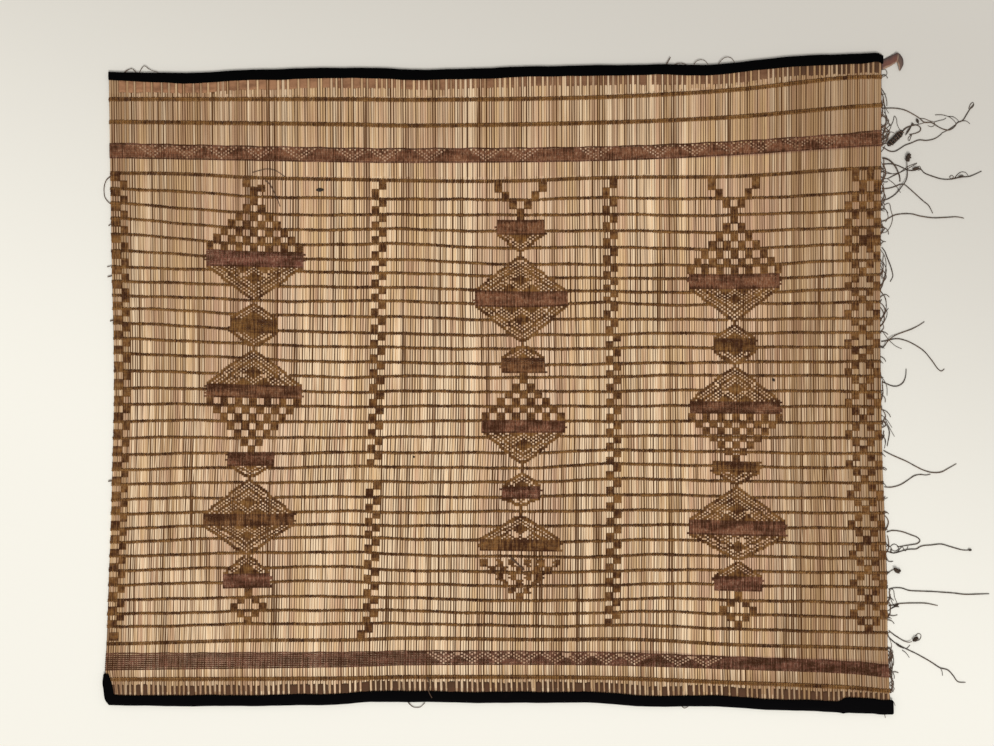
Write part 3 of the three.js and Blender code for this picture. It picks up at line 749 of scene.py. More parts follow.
def run(height, first, last, rng, half=None, tone=0.3, plum=0.0, dip=0.45 * MM, spread=ROW_END):
    """One row over the stems from first to last, sinking a little between them, and painted darker there as
    shade.
    """
    half = half or sizes().row_pitch * 0.53
    at = with_ends(first - spread, np.arange(2 * first, 2 * last + 1) / 2, last + spread)
    peak = with_ends(-0.7, np.tile([1.0, 0.0], last - first + 1)[:-1], -0.7)
    x, y = across(at, height)
    lower = np.minimum(lying_on(np.floor(at + 0.01)), lying_on(np.ceil(at - 0.01)))
    z = lower + 0.06 * MM - dip * (1 - peak) + rng.uniform(-0.05, 0.05, len(at)) * MM
    wide = half * np.where(peak > 0, 1.0, 0.88) * (1 + 0.06 * rng.standard_normal(len(at)))
    # Painted shade: each row's tone is made darker at its points between stems, where it sinks.
    shade = np.clip(tone + 0.3 * (1 - peak) + 0.16 * rng.standard_normal(len(at)), 0, 1.2)
    rubbed = np.clip(rng.uniform(-0.6, 0.35, len(at)), 0, 1)
    return rows_of(x, y, z, wide, shade, plum, rubbed)


def back(height, first, last, half=1.3 * MM, plum=0.2):
    """A row as it shows under the mat: one plain ribbon with few bends."""
    inner = np.linspace(first, last, max(2, (last - first) // 7 + 1))
    at = with_ends(first - ROW_END, inner, last + ROW_END)
    x, y = across(at, height)
    z = np.maximum(lying_under(at), 0.42 * half)
    z[[0, -1]] += 0.5 * MM
    return rows_of(x, y, z, half, 0.4, plum, 0)


# Figures of the three columns: a column's middle stem, then its parts from the top down. Heights count
# line spacings from the top line down.
# checks: start, step, and for each step how many blocks stand beside each other, two block widths apart,
# or where each stands off the middle, in block widths. Some also give a shift of the whole in stems, the
# stems to a block width where it isn't three, and the share of torn rows.
# bar: start, end, half width in stems, plum, darkness. slope: tip, base, half width at the base.
# neck: start, end, width in stems.
COLUMNS = {
    "left_column": (58, (
        ("checks", 0.14, 0.36, ((-1,),)),
        ("checks", 0.38, 0.34, ((1,),)),
        ("checks", 0.5, 0.5, (1, 1, 2, 3, 4, 5, 6, 7)),
        ("bar", 4.5, 5.72, 19.5, 1.0, 0.2),
        ("slope", 7.98, 5.72, 19.5),
        ("neck", 7.95, 8.28, 1),
        ("slope", 8.26, 9.28, 9.5),
        ("bar", 9.28, 10.2, 9.5, 0.0, 0.6),
        ("slope", 11.15, 10.2, 9.5),
        ("neck", 11.1, 11.5, 1),
        ("slope", 11.45, 13.65, 19.5),
        ("bar", 13.65, 14.5, 19.5, 0.6, 0.2),
        ("checks", 14.5, 0.5, (7, 6, 5, 4, 3, 2, 1)),
        ("bar", 17.9, 18.85, 9.5, 0.8, 0.55),
        ("slope", 19.6, 18.85, 9.5),
        ("neck", 19.5, 19.9, 1),
        ("slope", 19.8, 22.1, 18.5),
        ("bar", 22.1, 23.0, 18.5, 0.3, 0.6),
        ("slope", 25.1, 23.0, 18.5),
        ("slope", 25.15, 26.4, 9.5),
        ("bar", 26.4, 27.4, 9.5, 0.9, 0.35),
        ("checks", 27.45, 0.5, (1, 2, (-2, 2), 2, 1), 1, 3, 0),
    )),
    "middle_column": (165, (
        ("checks", 0.1, 0.5, ((-3, 3), (-2, 2), 2)),
        ("neck", 1.6, 2.3, 3),
        ("bar", 2.3, 3.2, 9, 0.6, 0.0),
        ("slope", 4.2, 3.2, 9),
        ("neck", 4.1, 4.6, 1),
        ("slope", 4.5, 6.97, 18),
        ("bar", 6.97, 8.15, 18, 0.7, 0.1),
        ("slope", 10.47, 8.15, 18),
        ("neck", 10.35, 10.95, 1),
        ("slope", 10.8, 11.57, 8.5),
        ("bar", 11.57, 12.65, 8.5, 0.4, 0.4),
        ("neck", 12.65, 13.4, 3),
        ("checks", 13.45, 0.5, (2, 3, 4, 5, 6)),
        ("bar", 15.95, 16.75, 16.5, 0.8, 0.4),
        ("slope", 18.7, 16.75, 15.5),
        ("neck", 18.6, 19.45, 1),
        ("slope", 19.4, 20.3, 7.5),
        ("bar", 20.3, 21.15, 7.5, 0.9, 0.35),
        ("slope", 21.65, 21.15, 7.5),
        ("neck", 21.6, 22.45, 1),
        ("slope", 22.35, 23.9, 15.6),
        ("bar", 23.9, 24.65, 15.6, 0.1, 0.5),
        ("checks", 25.2, 0.46, (6, 5, 4, 3, 2, 1), 0, 2.8, 0.5),
    )),
    "right_column": (251, (
        ("checks", 0.1, 0.48, ((-3, 3), (-2, 2), 2)),
        ("neck", 1.5, 2.5, 3),
        ("checks", 2.5, 0.52, (2, 3, 4, 5, 6, 7)),
        ("bar", 5.62, 6.75, 18.6, 0.7, 0.0),
        ("slope", 9.15, 6.75, 18.6),
        ("neck", 9.1, 9.5, 1),
        ("slope", 9.4, 10.35, 8.5),
        ("bar", 10.35, 11.3, 8.5, 0.0, 0.8),
        ("slope", 12.15, 11.3, 8.5),
        ("neck", 12.1, 12.45, 1),
        ("slope", 12.4, 14.7, 18.7),
        ("bar", 14.7, 15.5, 18.7, 0.7, 0.4),
        ("checks", 15.5, 0.45, (7, 6, 5, 4, 3, 2, 1)),
        ("bar", 18.65, 19.4, 9.5, 0.1, 0.5),
        ("slope", 20.2, 19.4, 9.5),
        ("neck", 20.1, 20.5, 1),
        ("slope", 20.4, 22.6, 19.5),
        ("bar", 22.6, 23.6, 19.5, 0.8, 0.4),
        ("slope", 25.25, 23.6, 19.5),
        ("slope", 25.4, 26.4, 9.8),
        ("bar", 26.4, 27.4, 9.8, 0.9, 0.3),
        ("checks", 27.45, 0.5, (1, 2, (-2, 2), 2, 1)),
    )),
}


def count_rows(top, base, x):
    """How many rows fill a figure's height."""
    tall = abs(float(line_y(top, x) - line_y(base, x)))
    return max(2, round(tall / sizes().row_pitch))


def levels(k0, k1, rows):
    """Height functions of rows spread evenly between two places in the count of lines."""
    return [partial(line_y, k0 + (r + 0.5) / rows * (k1 - k0)) for r in range(rows)]


def block(k0, k1, left, rng, stems=3, tone=0.45, torn=0):
    """A small solid block. A share of its rows may be torn short by one stem."""
    paths = []
    ends = line_y(np.array([k0, k1]), np.full(2, float(stem_x(left + 1, 0.0))))
    tall = abs(float(ends[1] - ends[0]))
    rows = max(3, round(tall / sizes().row_pitch))
    half = rng.uniform(0.52, 0.65) * tall / rows
    tears = np.random.default_rng(SEED + round(k0 * 100) + left)
    for height in levels(k0 - 0.02, k1 + 0.02, rows):
        spread = rng.uniform(0.42, 0.6)
        first, last = left, left + stems - 1
        if tears.random() < torn:
            first, last = tears.choice([(first, last - 1), (first + 1, last)])
        paths.append(run(height, first, last, rng, half=half, tone=tone, plum=0.1, spread=spread))
        paths.append(back(height, first, last, half))
    return paths


def bar(k0, k1, middle, half, plum, dark, rng):
    """A solid bar, darkest along its first edge."""
    rows = count_rows(k0, k1, float(stem_x(middle, 0.0)))
    paths = []
    for r, height in enumerate(levels(k0, k1, rows)):
        first = middle - int(half) - rng.choice([0, 0, 0, 0, 0, 0, 1])
        last = middle + int(half) + rng.choice([0, 0, 0, 0, 1])
        tone = {0: 2.0, 1: 0.5 + dark, rows - 1: 1.8}.get(r, dark + rng.uniform(-0.1, 0.1))
        paths.append(run(height, first, last, rng, tone=tone, plum=plum, dip=0.3 * MM))
        paths.append(back(height, first, last, plum=plum))
    return paths


def dark_at(depth, from_base, offset, big):
    """Whether a sloped figure's row passes over a stem there.

    Pale dotted lines run along the slopes. The big figures have more of them, and an eye at the base.
    """
    if depth < 0:
        return False
    if big:
        eye = abs(offset) + abs(from_base - 6)
        if eye <= 3:
            return True
        if from_base < 6 and eye in (4, 6) or depth in (7, 9, 11):
            return False
    return depth not in (2, 4)


def slope(tip, base, middle, half, rng):
    """A triangle from its tip to its base, with dotted lines beside its slopes."""
    rows = count_rows(tip, base, float(stem_x(middle, 0.0)))
    big = half > 12
    paths = []
    for r, height in enumerate(levels(tip, base, rows)):
        reach = 1 + (half - 1) * (r + 0.5) / rows
        wide = int(round(reach))
        covered = []
        for offset in range(-wide, wide + 1):
            depth = int(round((reach - abs(offset)) * rows / half))
            if dark_at(depth, rows - 1 - r, offset, big):
                covered.append(middle + offset)
        paths.extend(runs_over(covered, height, rng, half=1.45 * MM, spread=0.6))
        paths.append(back(height, middle - wide, middle + wide))
    return paths


def runs_over(covered, height, rng, **kind):
    """A row over the covered stems only, in as many stretches as they make."""
    paths = []
    start = None
    previous = None
    for stem in covered + [None]:
        if previous is not None and stem != previous + 1:
            paths.append(run(height, start, previous, rng, **kind))
            start = None
        if start is None:
            start = stem
        previous = stem
    return paths


def checks(middle, start, step, rows, shift, apart, torn, rng):
    """Blocks in a chequer, row by row."""
    paths = []
    for i, row in enumerate(rows):
        k = start + i * step
        for offset in range(1 - row, row, 2) if isinstance(row, int) else row:
            left = middle - 1 + shift + round(apart * offset)
            paths.extend(block(k, k + step, left, rng, tone=rng.uniform(0.2, 0.5), torn=torn))
    return paths


def column_rows(middle, parts, rng):
    """All the figures of a column."""
    paths = []
    for kind, start, end, *rest in parts:
        if kind == "checks":
            rows, *more = rest
            paths.extend(checks(middle, start, end, rows, *(more or (0, 3, 0)), rng))
        elif kind == "neck":
            paths.extend(block(start, end, middle - rest[0] // 2, rng, stems=rest[0]))
        elif kind == "bar":
            paths.extend(bar(start, end, middle, *rest, rng))
        else:
            paths.extend(slope(start, end, middle, *rest, rng))
    return paths


def half_at(parts, k):
    """Half the width, in stems, of the solid figure that a line meets at k."""
    for kind, start, end, half, *_ in parts:
        if kind == "bar" and start <= k <= end:
            return half
        if kind == "slope" and min(start, end) <= k <= max(start, end):
            return 1 + (half - 1) * abs(k - start) / abs(end - start)
    return None


# Stems where the last border's blocks start, and which of them stand in the lower half of the first line
# spacings. HALF_SPACINGS is how far down all the borders go.
BORDER_PLACES = {1: 297, 2: 300, 3: 303, 4: 306, 5: 309}
BORDER_PATTERN = {0: (3, 5), 1: (1, 3, 5), 2: (1, 5), 3: (1, 3, 4, 5), 4: (1, 5), 5: (3,)}
HALF_SPACINGS = 60


def border_blocks(rng):
    """The zigzag rows of blocks between the columns and down both borders."""
    found = []
    for h in range(HALF_SPACINGS):
        even = h % 2 == 0
        if h // 2 != 19:
            found.append((h, 108 if even else 105))
        found.append((h, (201 if even else 198) + (h > 18)))
    found.extend([(60.1, 106), (60.85, 103)])
    for h in range(HALF_SPACINGS):
        found.append((h, 0 if (h % 2 == 0) != (h >= 16) else 4))
    for h in range(HALF_SPACINGS):
        n = h // 2
        lower = BORDER_PATTERN.get(n, (3,) if n % 2 else (1, 5))
        found.extend((h, BORDER_PLACES[c]) for c in (lower if h % 2 else (2, 4)))
    paths = block(30.35, 30.8, 1, rng, stems=4)
    for h, left in found:
        stems = 4 if left == 0 else 3
        paths.extend(block(h / 2, h / 2 + 0.5, left, rng, stems=stems, tone=rng.uniform(0.25, 0.55)))
    return paths


# Middles of the zigzags in the two bands, in stems.
ZIGZAGS = {
    "top": (17, 31, 45, 60, 76, 97, 110, 128, 151, 166, 195, 220, 235, 250, 262, 277, 289),
    "bottom": (136, 147, 157, 167, 179, 188, 199, 210, 227, 238),
}
BAND_ROWS = 9


def band_rows(name, rng):
    """A dense band across the whole mat, dark along both edges, with dotted zigzags in it."""
    upper, lower = BANDS[name]
    top = name == "top"
    bare = set()
    for middle in ZIGZAGS[name]:
        for offset in range(-8, 9):
            for lift in (1, 3, 6):
                bare.add((abs(offset) + lift, middle + offset))
    paths = []
    marks = np.linspace(-0.62, 0.62, 400)
    wave = ripple(np.random.default_rng(5), marks, 0.7 * MM, 0.06)
    for r in range(BAND_ROWS):
        share = (r + 0.5) / BAND_ROWS
        first, last = r == 0, r == BAND_ROWS - 1
        edge = first or last

        def height(x, share=share, sway=1.0 if last else 0.3):
            level = row_y(lower, x) * (1 - share) + row_y(upper, x) * share
            return level + np.interp(x, marks, wave) * sway

        covered = [s for s in range(STEMS) if edge or (r, s) not in bare]
        kind = {
            "tone": 1.2 if last else 0.05 if top and not first else 0.75,
            "half": 1.35 * MM if top and not edge else 1.0 * MM,
            "plum": 0.7 if top and not edge else 1.0,
        }
        paths.extend(runs_over(covered, height, rng, dip=0.35 * MM, spread=0.66, **kind))
        paths.append(back(height, 0, LAST_STEM, plum=0.8))
    return paths


def stem_paths(rng):
    """The stems: a path for each, fanning out with the mat's sides."""
    paths = []
    steps = sizes().stem_steps
    wander = sizes().stem_wander
    levels = np.linspace(0, LAST_LINE, 180)
    above = (OUTER_ROWS["first"], OUTER_ROWS["second"], BANDS["top"][0])
    below = (BANDS["bottom"][1], OUTER_ROWS["last"])
    counts = [-3, -2, -1, *levels, LAST_LINE + 1, LAST_LINE + 2]
    for stem in range(STEMS):
        x0 = float(stem_x(stem, 0.0))
        low = float(along(BOTTOM_EDGE, x0)) + STEM_INSET
        high = float(along(TOP_EDGE, x0)) - STEM_INSET
        y = np.linspace(low, high, steps + 1)
        x = stem_x(stem, y) + wander * np.sin(y * rng.uniform(7, 19) + rng.uniform(0, 6.3))
        z = STEM_MIDDLE + 0.1 * MM * np.sin(y * rng.uniform(8, 22) + rng.uniform(0, 6.3))
        radius = STEM_RADII[stem] * sizes().stem_fill * (1 + 0.02 * rng.standard_normal(len(y)))
        dark = np.clip(rng.gamma(1.6, 0.16), 0, 1)
        bright = rng.uniform(0.6, 1.0) if rng.random() < 0.14 else max(0.0, rng.normal(0.05, 0.25))
        heights = [float(row_y(row, x0)) for row in above]
        heights.extend(line_y(levels, np.full(len(levels), x0)))
        heights.extend(float(row_y(row, x0)) for row in below)
        line = np.interp(-y, -np.array(heights), counts, left=-3.5, right=LAST_LINE + 2.5)
        paths.append(rows_of(x, y, z, radius, dark, line, bright))
    return paths


# Loose thongs, in millimetres: places along each, with the lift off the floor where there is one.
THONGS = {
    "crest": (
        (600, 428.6), (609, 429), (618, 428.7), (631.5, 426), (645, 419.4), (655, 413), (662, 407),
        (673, 406.5), (684.5, 399.6), (692.5, 396), (700.5, 395), (708.4, 399.6), (713, 406), (721.7, 410),
        (727, 418), (733.6, 428.7), (739, 435.4),
    ),
    "bundled": (
        (628.9, 393.6), (632.6, 396.9), (638.6, 400.4), (645.6, 402.9), (652.4, 401.9), (656.5, 397.9),
        (655.3, 393.3), (647.6, 389.7), (638.6, 388),
    ),
    "lower_crest": (
        (600, 368.5), (604, 364.5), (608, 362.4), (615.7, 361.8), (623.6, 365.8), (631.5, 371), (642, 375),
        (654, 379.6), (665, 378.8), (678, 381.6), (686.5, 387), (690.5, 391),
    ),
    "arc": (
        (598, 351.5), (602, 350.6, 0.3), (606.4, 348.4, 1.2), (610.5, 345, 2.2), (614.4, 340.8, 2.3),
        (617.8, 336.2, 1.8), (620.6, 331, 0.8), (623, 325.4, 0.1), (624.2, 320), (624.2, 314.8),
    ),
    "knotted": (
        (598, 341.6), (603, 342.4), (609, 342.5), (615, 341.8), (622, 339.6), (629, 336.4), (637, 332.8),
        (647.4, 332.6), (655.3, 335.3), (662, 328.6), (675, 323.3), (688.5, 319.3), (701.7, 318.7),
        (719, 322), (732.2, 323.3), (750.8, 331.2),
    ),
    "stub": (
        (598, 286), (604, 287.6), (610, 290.6), (615.7, 294.4, 0.1), (620.4, 299, 0.8), (624.4, 304.2, 1.8),
        (628.2, 309.6, 2.4), (632, 314.8, 2.3), (634.6, 320.6, 1.7), (635.3, 327, 1.9), (635, 333.2, 2.4),
        (634.7, 339.4, 2.4), (634.5, 345.3, 2.2),
    ),
    "slope": (
        (598, 303.6), (606.4, 304.7), (613, 306.3), (619, 308.4), (625, 310.9), (631, 310.6), (637, 306.1),
        (647.4, 296.8), (660.6, 284.9), (668.7, 278.2), (675.2, 266),
    ),
    "level": (
        (598, 253.6), (602, 255.2), (606.4, 258), (615.7, 263), (626.2, 265), (642.2, 265), (655.3, 261.8),
        (675.2, 259), (695.2, 259.6), (712.4, 260.4), (723.5, 258.4),
    ),
    "bent": (
        (598, 213), (601, 207), (603.9, 199.4), (607, 191.5), (610, 183.7), (612.2, 176), (613.3, 168.2),
        (609.2, 160),
    ),
    "rising": (
        (598, 57), (600.4, 61, 0.9), (603, 65.4, 2.1), (606.6, 69.6, 2.4), (611, 73.4, 2.1),
        (616.4, 76.6, 0.9), (623, 79.6, 0.1), (632, 82.8), (643.3, 87), (654, 92.6), (662.3, 98.1),
    ),
    "falling": (
        (598, 67.4), (603, 68.6), (609, 70.2), (621, 71.6), (634.9, 68.2), (650.2, 60.5), (662.3, 51.8),
        (674.3, 37.2), (683.6, 24.6), (688.6, 21.4), (693.3, 25),
    ),
    "hook": (
        (598, 4.8), (603.9, 1.9), (610, -0.8), (616, -2), (623, -0.8), (629.3, 4), (633, 13), (634, 25.1),
    ),
    "edge": (
        (599, -56), (603.4, -61.5), (606.8, -67.5), (608, -74), (607.2, -81), (605.8, -88), (604.6, -95),
    ),
    "wave": (
        (599, -101.6), (604, -104.4), (612, -108.5), (621, -112.5), (634.9, -118.6), (648.5, -126),
        (660.3, -131.8), (674.3, -135.6), (688.2, -134.9), (700.1, -128.7), (711.9, -122),
    ),
    "joining": (
        (600, -158), (610.7, -158.4), (624.7, -154.7), (636.6, -147.4), (646.8, -140.6), (655.7, -138.8),
        (665, -139.6), (671.8, -138.2),
    ),
    "loop": (
        (603, -228), (610.7, -225.8), (620, -226), (629, -227.8), (642, -232.5), (651.5, -236.4),
        (655.5, -241.2), (651.5, -245.6), (644, -247.2), (634.9, -248.6), (620, -251.2),
    ),
    "curled": (
        (604, -258), (613.8, -260.4), (623, -258.6), (633.2, -255.4), (641.7, -254.4), (650, -254),
        (655.4, -250.6), (662, -248.8), (672.7, -248), (688.2, -246.6), (702.2, -250.5), (722.3, -255.8),
        (732.8, -255.8),
    ),
    "longest": (
        (607, -317), (612, -315), (620, -314.2), (628, -315), (638.3, -318.4), (655, -319.4), (672.7, -320),
        (690, -321.2), (706.8, -322.4), (724.3, -324.4), (745.6, -324), (762.6, -323.6),
    ),
    "straight": (
        (607, -342.2), (613.8, -341), (621, -339.2), (627, -338.5), (638, -338), (648.5, -337.9),
        (664, -338.2), (682.9, -341.9),
    ),
    "knob": (
        (607, -381), (614.4, -386.6), (622, -391.6), (629, -395.8, 0.1), (634.6, -398, 0.8),
        (639, -398.2, 1.6), (642.5, -396.9, 2.1),
    ),
    "lowest": (
        (606.4, -391), (612, -396), (621, -402), (634, -408.9), (652, -417.6), (672.7, -429.4),
        (686.5, -438.2), (698.4, -441.6), (706.8, -450.3), (714, -459.6), (726, -461),
    ),
}
THONG_WIDTH = 0.0018
WIDER_THONGS = {"arc": 0.0026}
# The knot on a thong's end, and the one thong that starts in its knot and not beside the comb.
FREE_START = "bundled"
# Knots, in millimetres: name, x, y, length, width, and the direction of the long axis in degrees.
KNOTS = (
    ("bundle", 617.6, 382.5, 35.5, 11.2, 45),
    ("stub", 636.6, 352, 14.2, 8, 72),
    ("knob", 647.8, -393.6, 11, 6.2, 32),
    ("bead", 621.4, -287.9, 9, 5, 8),
)
# Short ends of the fringe, in millimetres: height, reach out, reach along, bow.
TEETH = (
    (478, 9, -3, 4), (460, 8, -28, 3), (418, 12, -16, 3), (398, 13, -4, -3), (371.4, 10.2, 2.4, 1),
    (329, 8, -2, 2), (318, 10, -3, -2), (272, 11, -6, 3), (243, 12, -10, 5), (228, 8, -6, -2),
    (195, 7, -22, -2), (146, 9, -24, 4), (134, 14, 2, 5), (93, 13, 26, -3), (82, 12, -4, 2), (44, 8, -8, 2),
    (-14, 6, -13, 3), (-38, 14, -12, 3), (-76, 5, -14, 2), (-128, 6, -3, 1), (-196, 6, -4, 1),
    (-268, 10, -5, -3), (-294, 12, 7, 4), (-330, 9, -4, 2), (-353, 15, -3, -3), (-364, 10, -6, 2),
    (-405, 8, -30, 4), (-440, 8, -15, 3), (-447, 14, 1, 2), (-471, 5, -5, 1),
)
# Short loose ends that branch off beside the long ones, in millimetres: the points along each.
LOOSE_ENDS = (
    ((593, 334), (602.5, 328.5), (618.5, 327.5), (631.5, 332.5), (650.5, 343)),
    ((594.5, 322), (603.5, 319.5), (615.5, 324.5), (631.5, 332.5)),
    ((605, 319.5), (615.5, 311.5), (625.5, 298)),
    ((596, 85), (607.5, 69.5), (617.5, 60.5), (627, 56)),
    ((592.5, 15.5), (599.5, 7.5), (604, -2.5), (604.5, -16.5)),
    ((594.5, -45.5), (604, -54), (612, -66)),
    ((600.5, -50.5), (607.5, -65), (616, -80)),
    ((597, -78), (602, -85), (600.5, -98.5)),
    ((686.5, -438), (689.5, -443.5), (690.5, -450.5)),
    ((628, -411), (634, -415.5), (639, -422.5)),
    ((634, -409), (637, -406.5), (640, -403)),
    ((647, -397), (655, -394.5), (657, -387.5), (653, -385), (648, -389)),
    ((701, 322), (704.5, 325), (707.5, 322.5), (704.5, 319.5), (701.5, 321.5)),
    ((709.5, 321), (714, 326.5), (719.5, 330), (726.5, 329), (730, 324.5)),
    ((650, 336), (655, 339), (656.5, 334), (652, 332.5)),
    ((595, 457), (598.5, 446.5), (600.5, 435.5), (603, 428), (607, 421)),
    ((600, 434), (603, 415.5), (606, 407.5), (610.5, 401.5), (606, 392), (600, 384.5)),
    ((610.5, 401.5), (614, 409), (616, 417), (619, 412.5), (620, 404.5), (622.5, 398.5), (626, 393.5)),
    ((598.5, 393.5), (604.5, 398.5), (610, 403)),
    ((600, 423), (604.5, 414), (601.5, 401.5), (599, 392)),
    ((601.5, 384.5), (606, 389), (610.5, 392), (615.5, 390.5)),
    ((629.5, 396), (637, 400.5), (646.5, 402), (654, 404), (662, 406)),
    ((643, 389), (641.5, 384.5), (638.5, 378), (637, 382), (641.5, 387.5)),
    ((679, 418.5), (689.5, 418.5), (699, 416), (705, 412.5), (710, 407.5), (711.5, 403)),
    ((699, 416), (707, 415.5), (713, 411.5), (716, 407.5)),
    ((689.5, 390.5), (696, 393.5), (703.5, 398.5), (710, 403)),
    ((677.5, 407.5), (686.5, 410), (693, 411.5), (696, 414)),
    ((654, 413), (662, 412.5), (671, 409), (677.5, 407), (677.5, 402), (672.5, 400), (667.5, 402)),
    ((721, 409), (727, 409), (733, 404.5)),
    ((731, 428), (734, 435.5), (738, 438), (738.5, 432.5), (733, 427)),
    ((594.5, 488), (601.5, 489), (604.5, 483.5), (601.5, 479), (595, 476)),
    ((593.5, 324), (603, 319.5), (614, 324.5), (624.5, 329.5), (632.5, 335.5), (640, 340), (651, 344)),
    ((595, 335), (604.5, 330), (614, 327), (621.5, 328.5)),
    ((593.5, 449.5), (603, 451)),
    ((593.5, 359.5), (598.5, 365), (601.5, 371)),
    ((600, 279), (607.5, 281.5), (610.5, 270.5), (613, 259.5), (610, 246.5), (603, 237), (593.5, 235)),
    ((595, 281.5), (603, 270.5), (606, 259.5), (602, 252.5)),
    ((593.5, 211), (600.5, 200), (603, 187.5), (601.5, 173.5), (597.5, 159.5)),
    ((598.5, 190.5), (603.5, 178), (600.5, 164.5), (597, 152)),
    ((593, 148), (600.5, 136.5), (603.5, 121), (599, 109.5), (593.5, 99)),
    ((598.5, 122.5), (604.5, 113), (601.5, 100.5), (593.5, 91.5)),
    ((601.5, -243.5), (607.5, -251), (615.5, -246.5), (623, -252.5), (617, -257.5), (609, -254),
     (614, -261), (621.5, -257.5)),
    ((600, -254), (606, -249), (612, -255), (607.5, -259), (603, -254)),
    ((621.5, -257.5), (628, -251), (632.5, -257.5), (637, -250.5)),
    ((607.5, -316), (614, -317.5), (616, -328.5), (620, -341), (614, -344), (607.5, -349)),
    ((609, -324), (612, -336.5), (617, -342.5), (623, -343.5)),
    ((600, -353.5), (607.5, -349), (617, -344), (623, -344)),
    ((604.5, -387.5), (612, -395), (621.5, -403), (630, -408.5)),
    ((606, -418.5), (611.5, -426), (613, -438.5), (610.5, -451), (614.5, -462)),
    ((604.5, -423), (609, -432.5), (608.5, -445), (612, -457), (606, -465)),
    ((606, -438.5), (612, -443.5), (609, -451), (614, -455.5)),
    ((606, -488), (614, -490.5), (617, -497)),
    ((600, -508.5), (602, -516)),
)
# Where thong ends tangle beside the last stem, in millimetres: top, bottom, reach, and how many.
TANGLES = (
    (452, 410, 4, 3), (435, 366, 12, 5), (400, 366, 7, 3), (360, 310, 7, 3), (320, 262, 8, 5),
    (262, 226, 6, 2), (210, 140, 9, 4), (130, 80, 8, 3), (20, -30, 5, 2), (-30, -100, 6, 3),
    (-200, -260, 5, 2), (-300, -370, 8, 3), (-380, -430, 6, 2), (-405, -485, 8, 10),
)
# Lumps where thongs are knotted, in millimetres: the two ends and the half width.
LUMPS = (
    ((643, 334), (653.5, 337), 2.1), ((714, 321), (722.5, 324.5), 1.9), ((650, 412.5), (652.5, 404.5), 2.2),
    ((632.5, 386.5), (642.5, 402), 1.4), ((642, 402), (645, 405.5), 1.8),
    ((729.5, -255.5), (735.5, -255.5), 1.8), ((614, -283), (623, -291.5), 3.4),
    ((614.5, -343.5), (622.5, -339.5), 1.8), ((617, -400), (628, -407.5), 1.5),
)
# An edge strip's section: share of its width, and millimetres up from its middle.
STRIP_SECTION = (
    (0, 0), (0.3, 0.12), (0.7, 0.12), (0.96, 0.0), (1, -0.35), (0.96, -0.7), (0.5, -0.7), (0, -0.7),
)
# Thongs lying on the mat or standing off its other edges, in millimetres: half width, height, and the
# points along each.
STRAYS = (
    (0.6, 5.2, ((-378, 328.5), (-367.5, 331.5), (-355, 334), (-342.5, 331.5), (-335, 327),
                (-328.5, 322.5))),
    (0.8, 5.2, ((-358, 316), (-352, 311), (-346.5, 302), (-342, 292), (-338, 283.5), (-335.5, 276))),
    (0.8, 2.2, ((-598.5, 323), (-604.5, 317.5), (-608, 308.5), (-608.5, 299), (-607, 290), (-601.5, 283),
                (-597, 279))),
    (1.3, 5.2, ((21.5, -267.5), (29.5, -274.5), (35.5, -280.5), (42, -286))),
    (0.8, 2.2, ((-603.5, 183), (-597, 184.5))),
    (1.1, 2.2, ((-603, 167.5), (-595, 169.5))),
    (1.1, 2.2, ((-599, 99), (-590.5, 101.5))),
    (1.1, 2.2, ((-602, -149), (-593.5, -148))),
    (0.8, 2.2, ((-601.5, 246.5), (-595, 251))),
    (0.9, 6.8, ((-108.5, -451), (-104, -462), (-105.5, -473), (-100.5, -483.5))),
    (0.7, 1.5, ((-138, -491.5), (-130, -498.5), (-119.5, -499), (-111.5, -492))),
    (0.7, 1.5, ((283.5, -493.5), (290, -500.5), (299, -496))),
    (0.8, 3, ((-576.5, 484), (-571.5, 487.5), (-565, 489.5), (-558.5, 484))),
    (0.6, 3, ((-553.5, 484), (-546, 494), (-538.5, 489), (-522.5, 483))),
    (1, 3, ((261.5, 495.5), (265, 501), (268.5, 507.5))),
    (0.6, 3, ((275, 496), (284, 498.5), (293.5, 496))),
    (0.6, 3, ((304.5, 496), (308.5, 501), (315, 503.5), (321.5, 502), (327, 496))),
    (0.6, 3, ((342.5, 496.5), (348.5, 504), (355, 507.5), (362.5, 506), (369, 498))),
)
# Dark spots on the stems, in millimetres: the two ends and the half width.
SPOTS = (
    ((-280, 301.5), (-267.5, 302), 2.9), ((426, 10), (429.5, 5.5), 2.2),
    ((-130, -111), (-126.5, -111.5), 1.6),
)


def spine_x(y):
    """Where the fringe's comb runs, just outside the last stem."""
    return along(RIGHT_EDGE, y) + 1.3 * MM


def places(points, height=0.0):
    """Rows of x, y and z from places in millimetres, whose height may be left out."""
    return np.array([(*point, height)[:3] for point in points], float) * MM


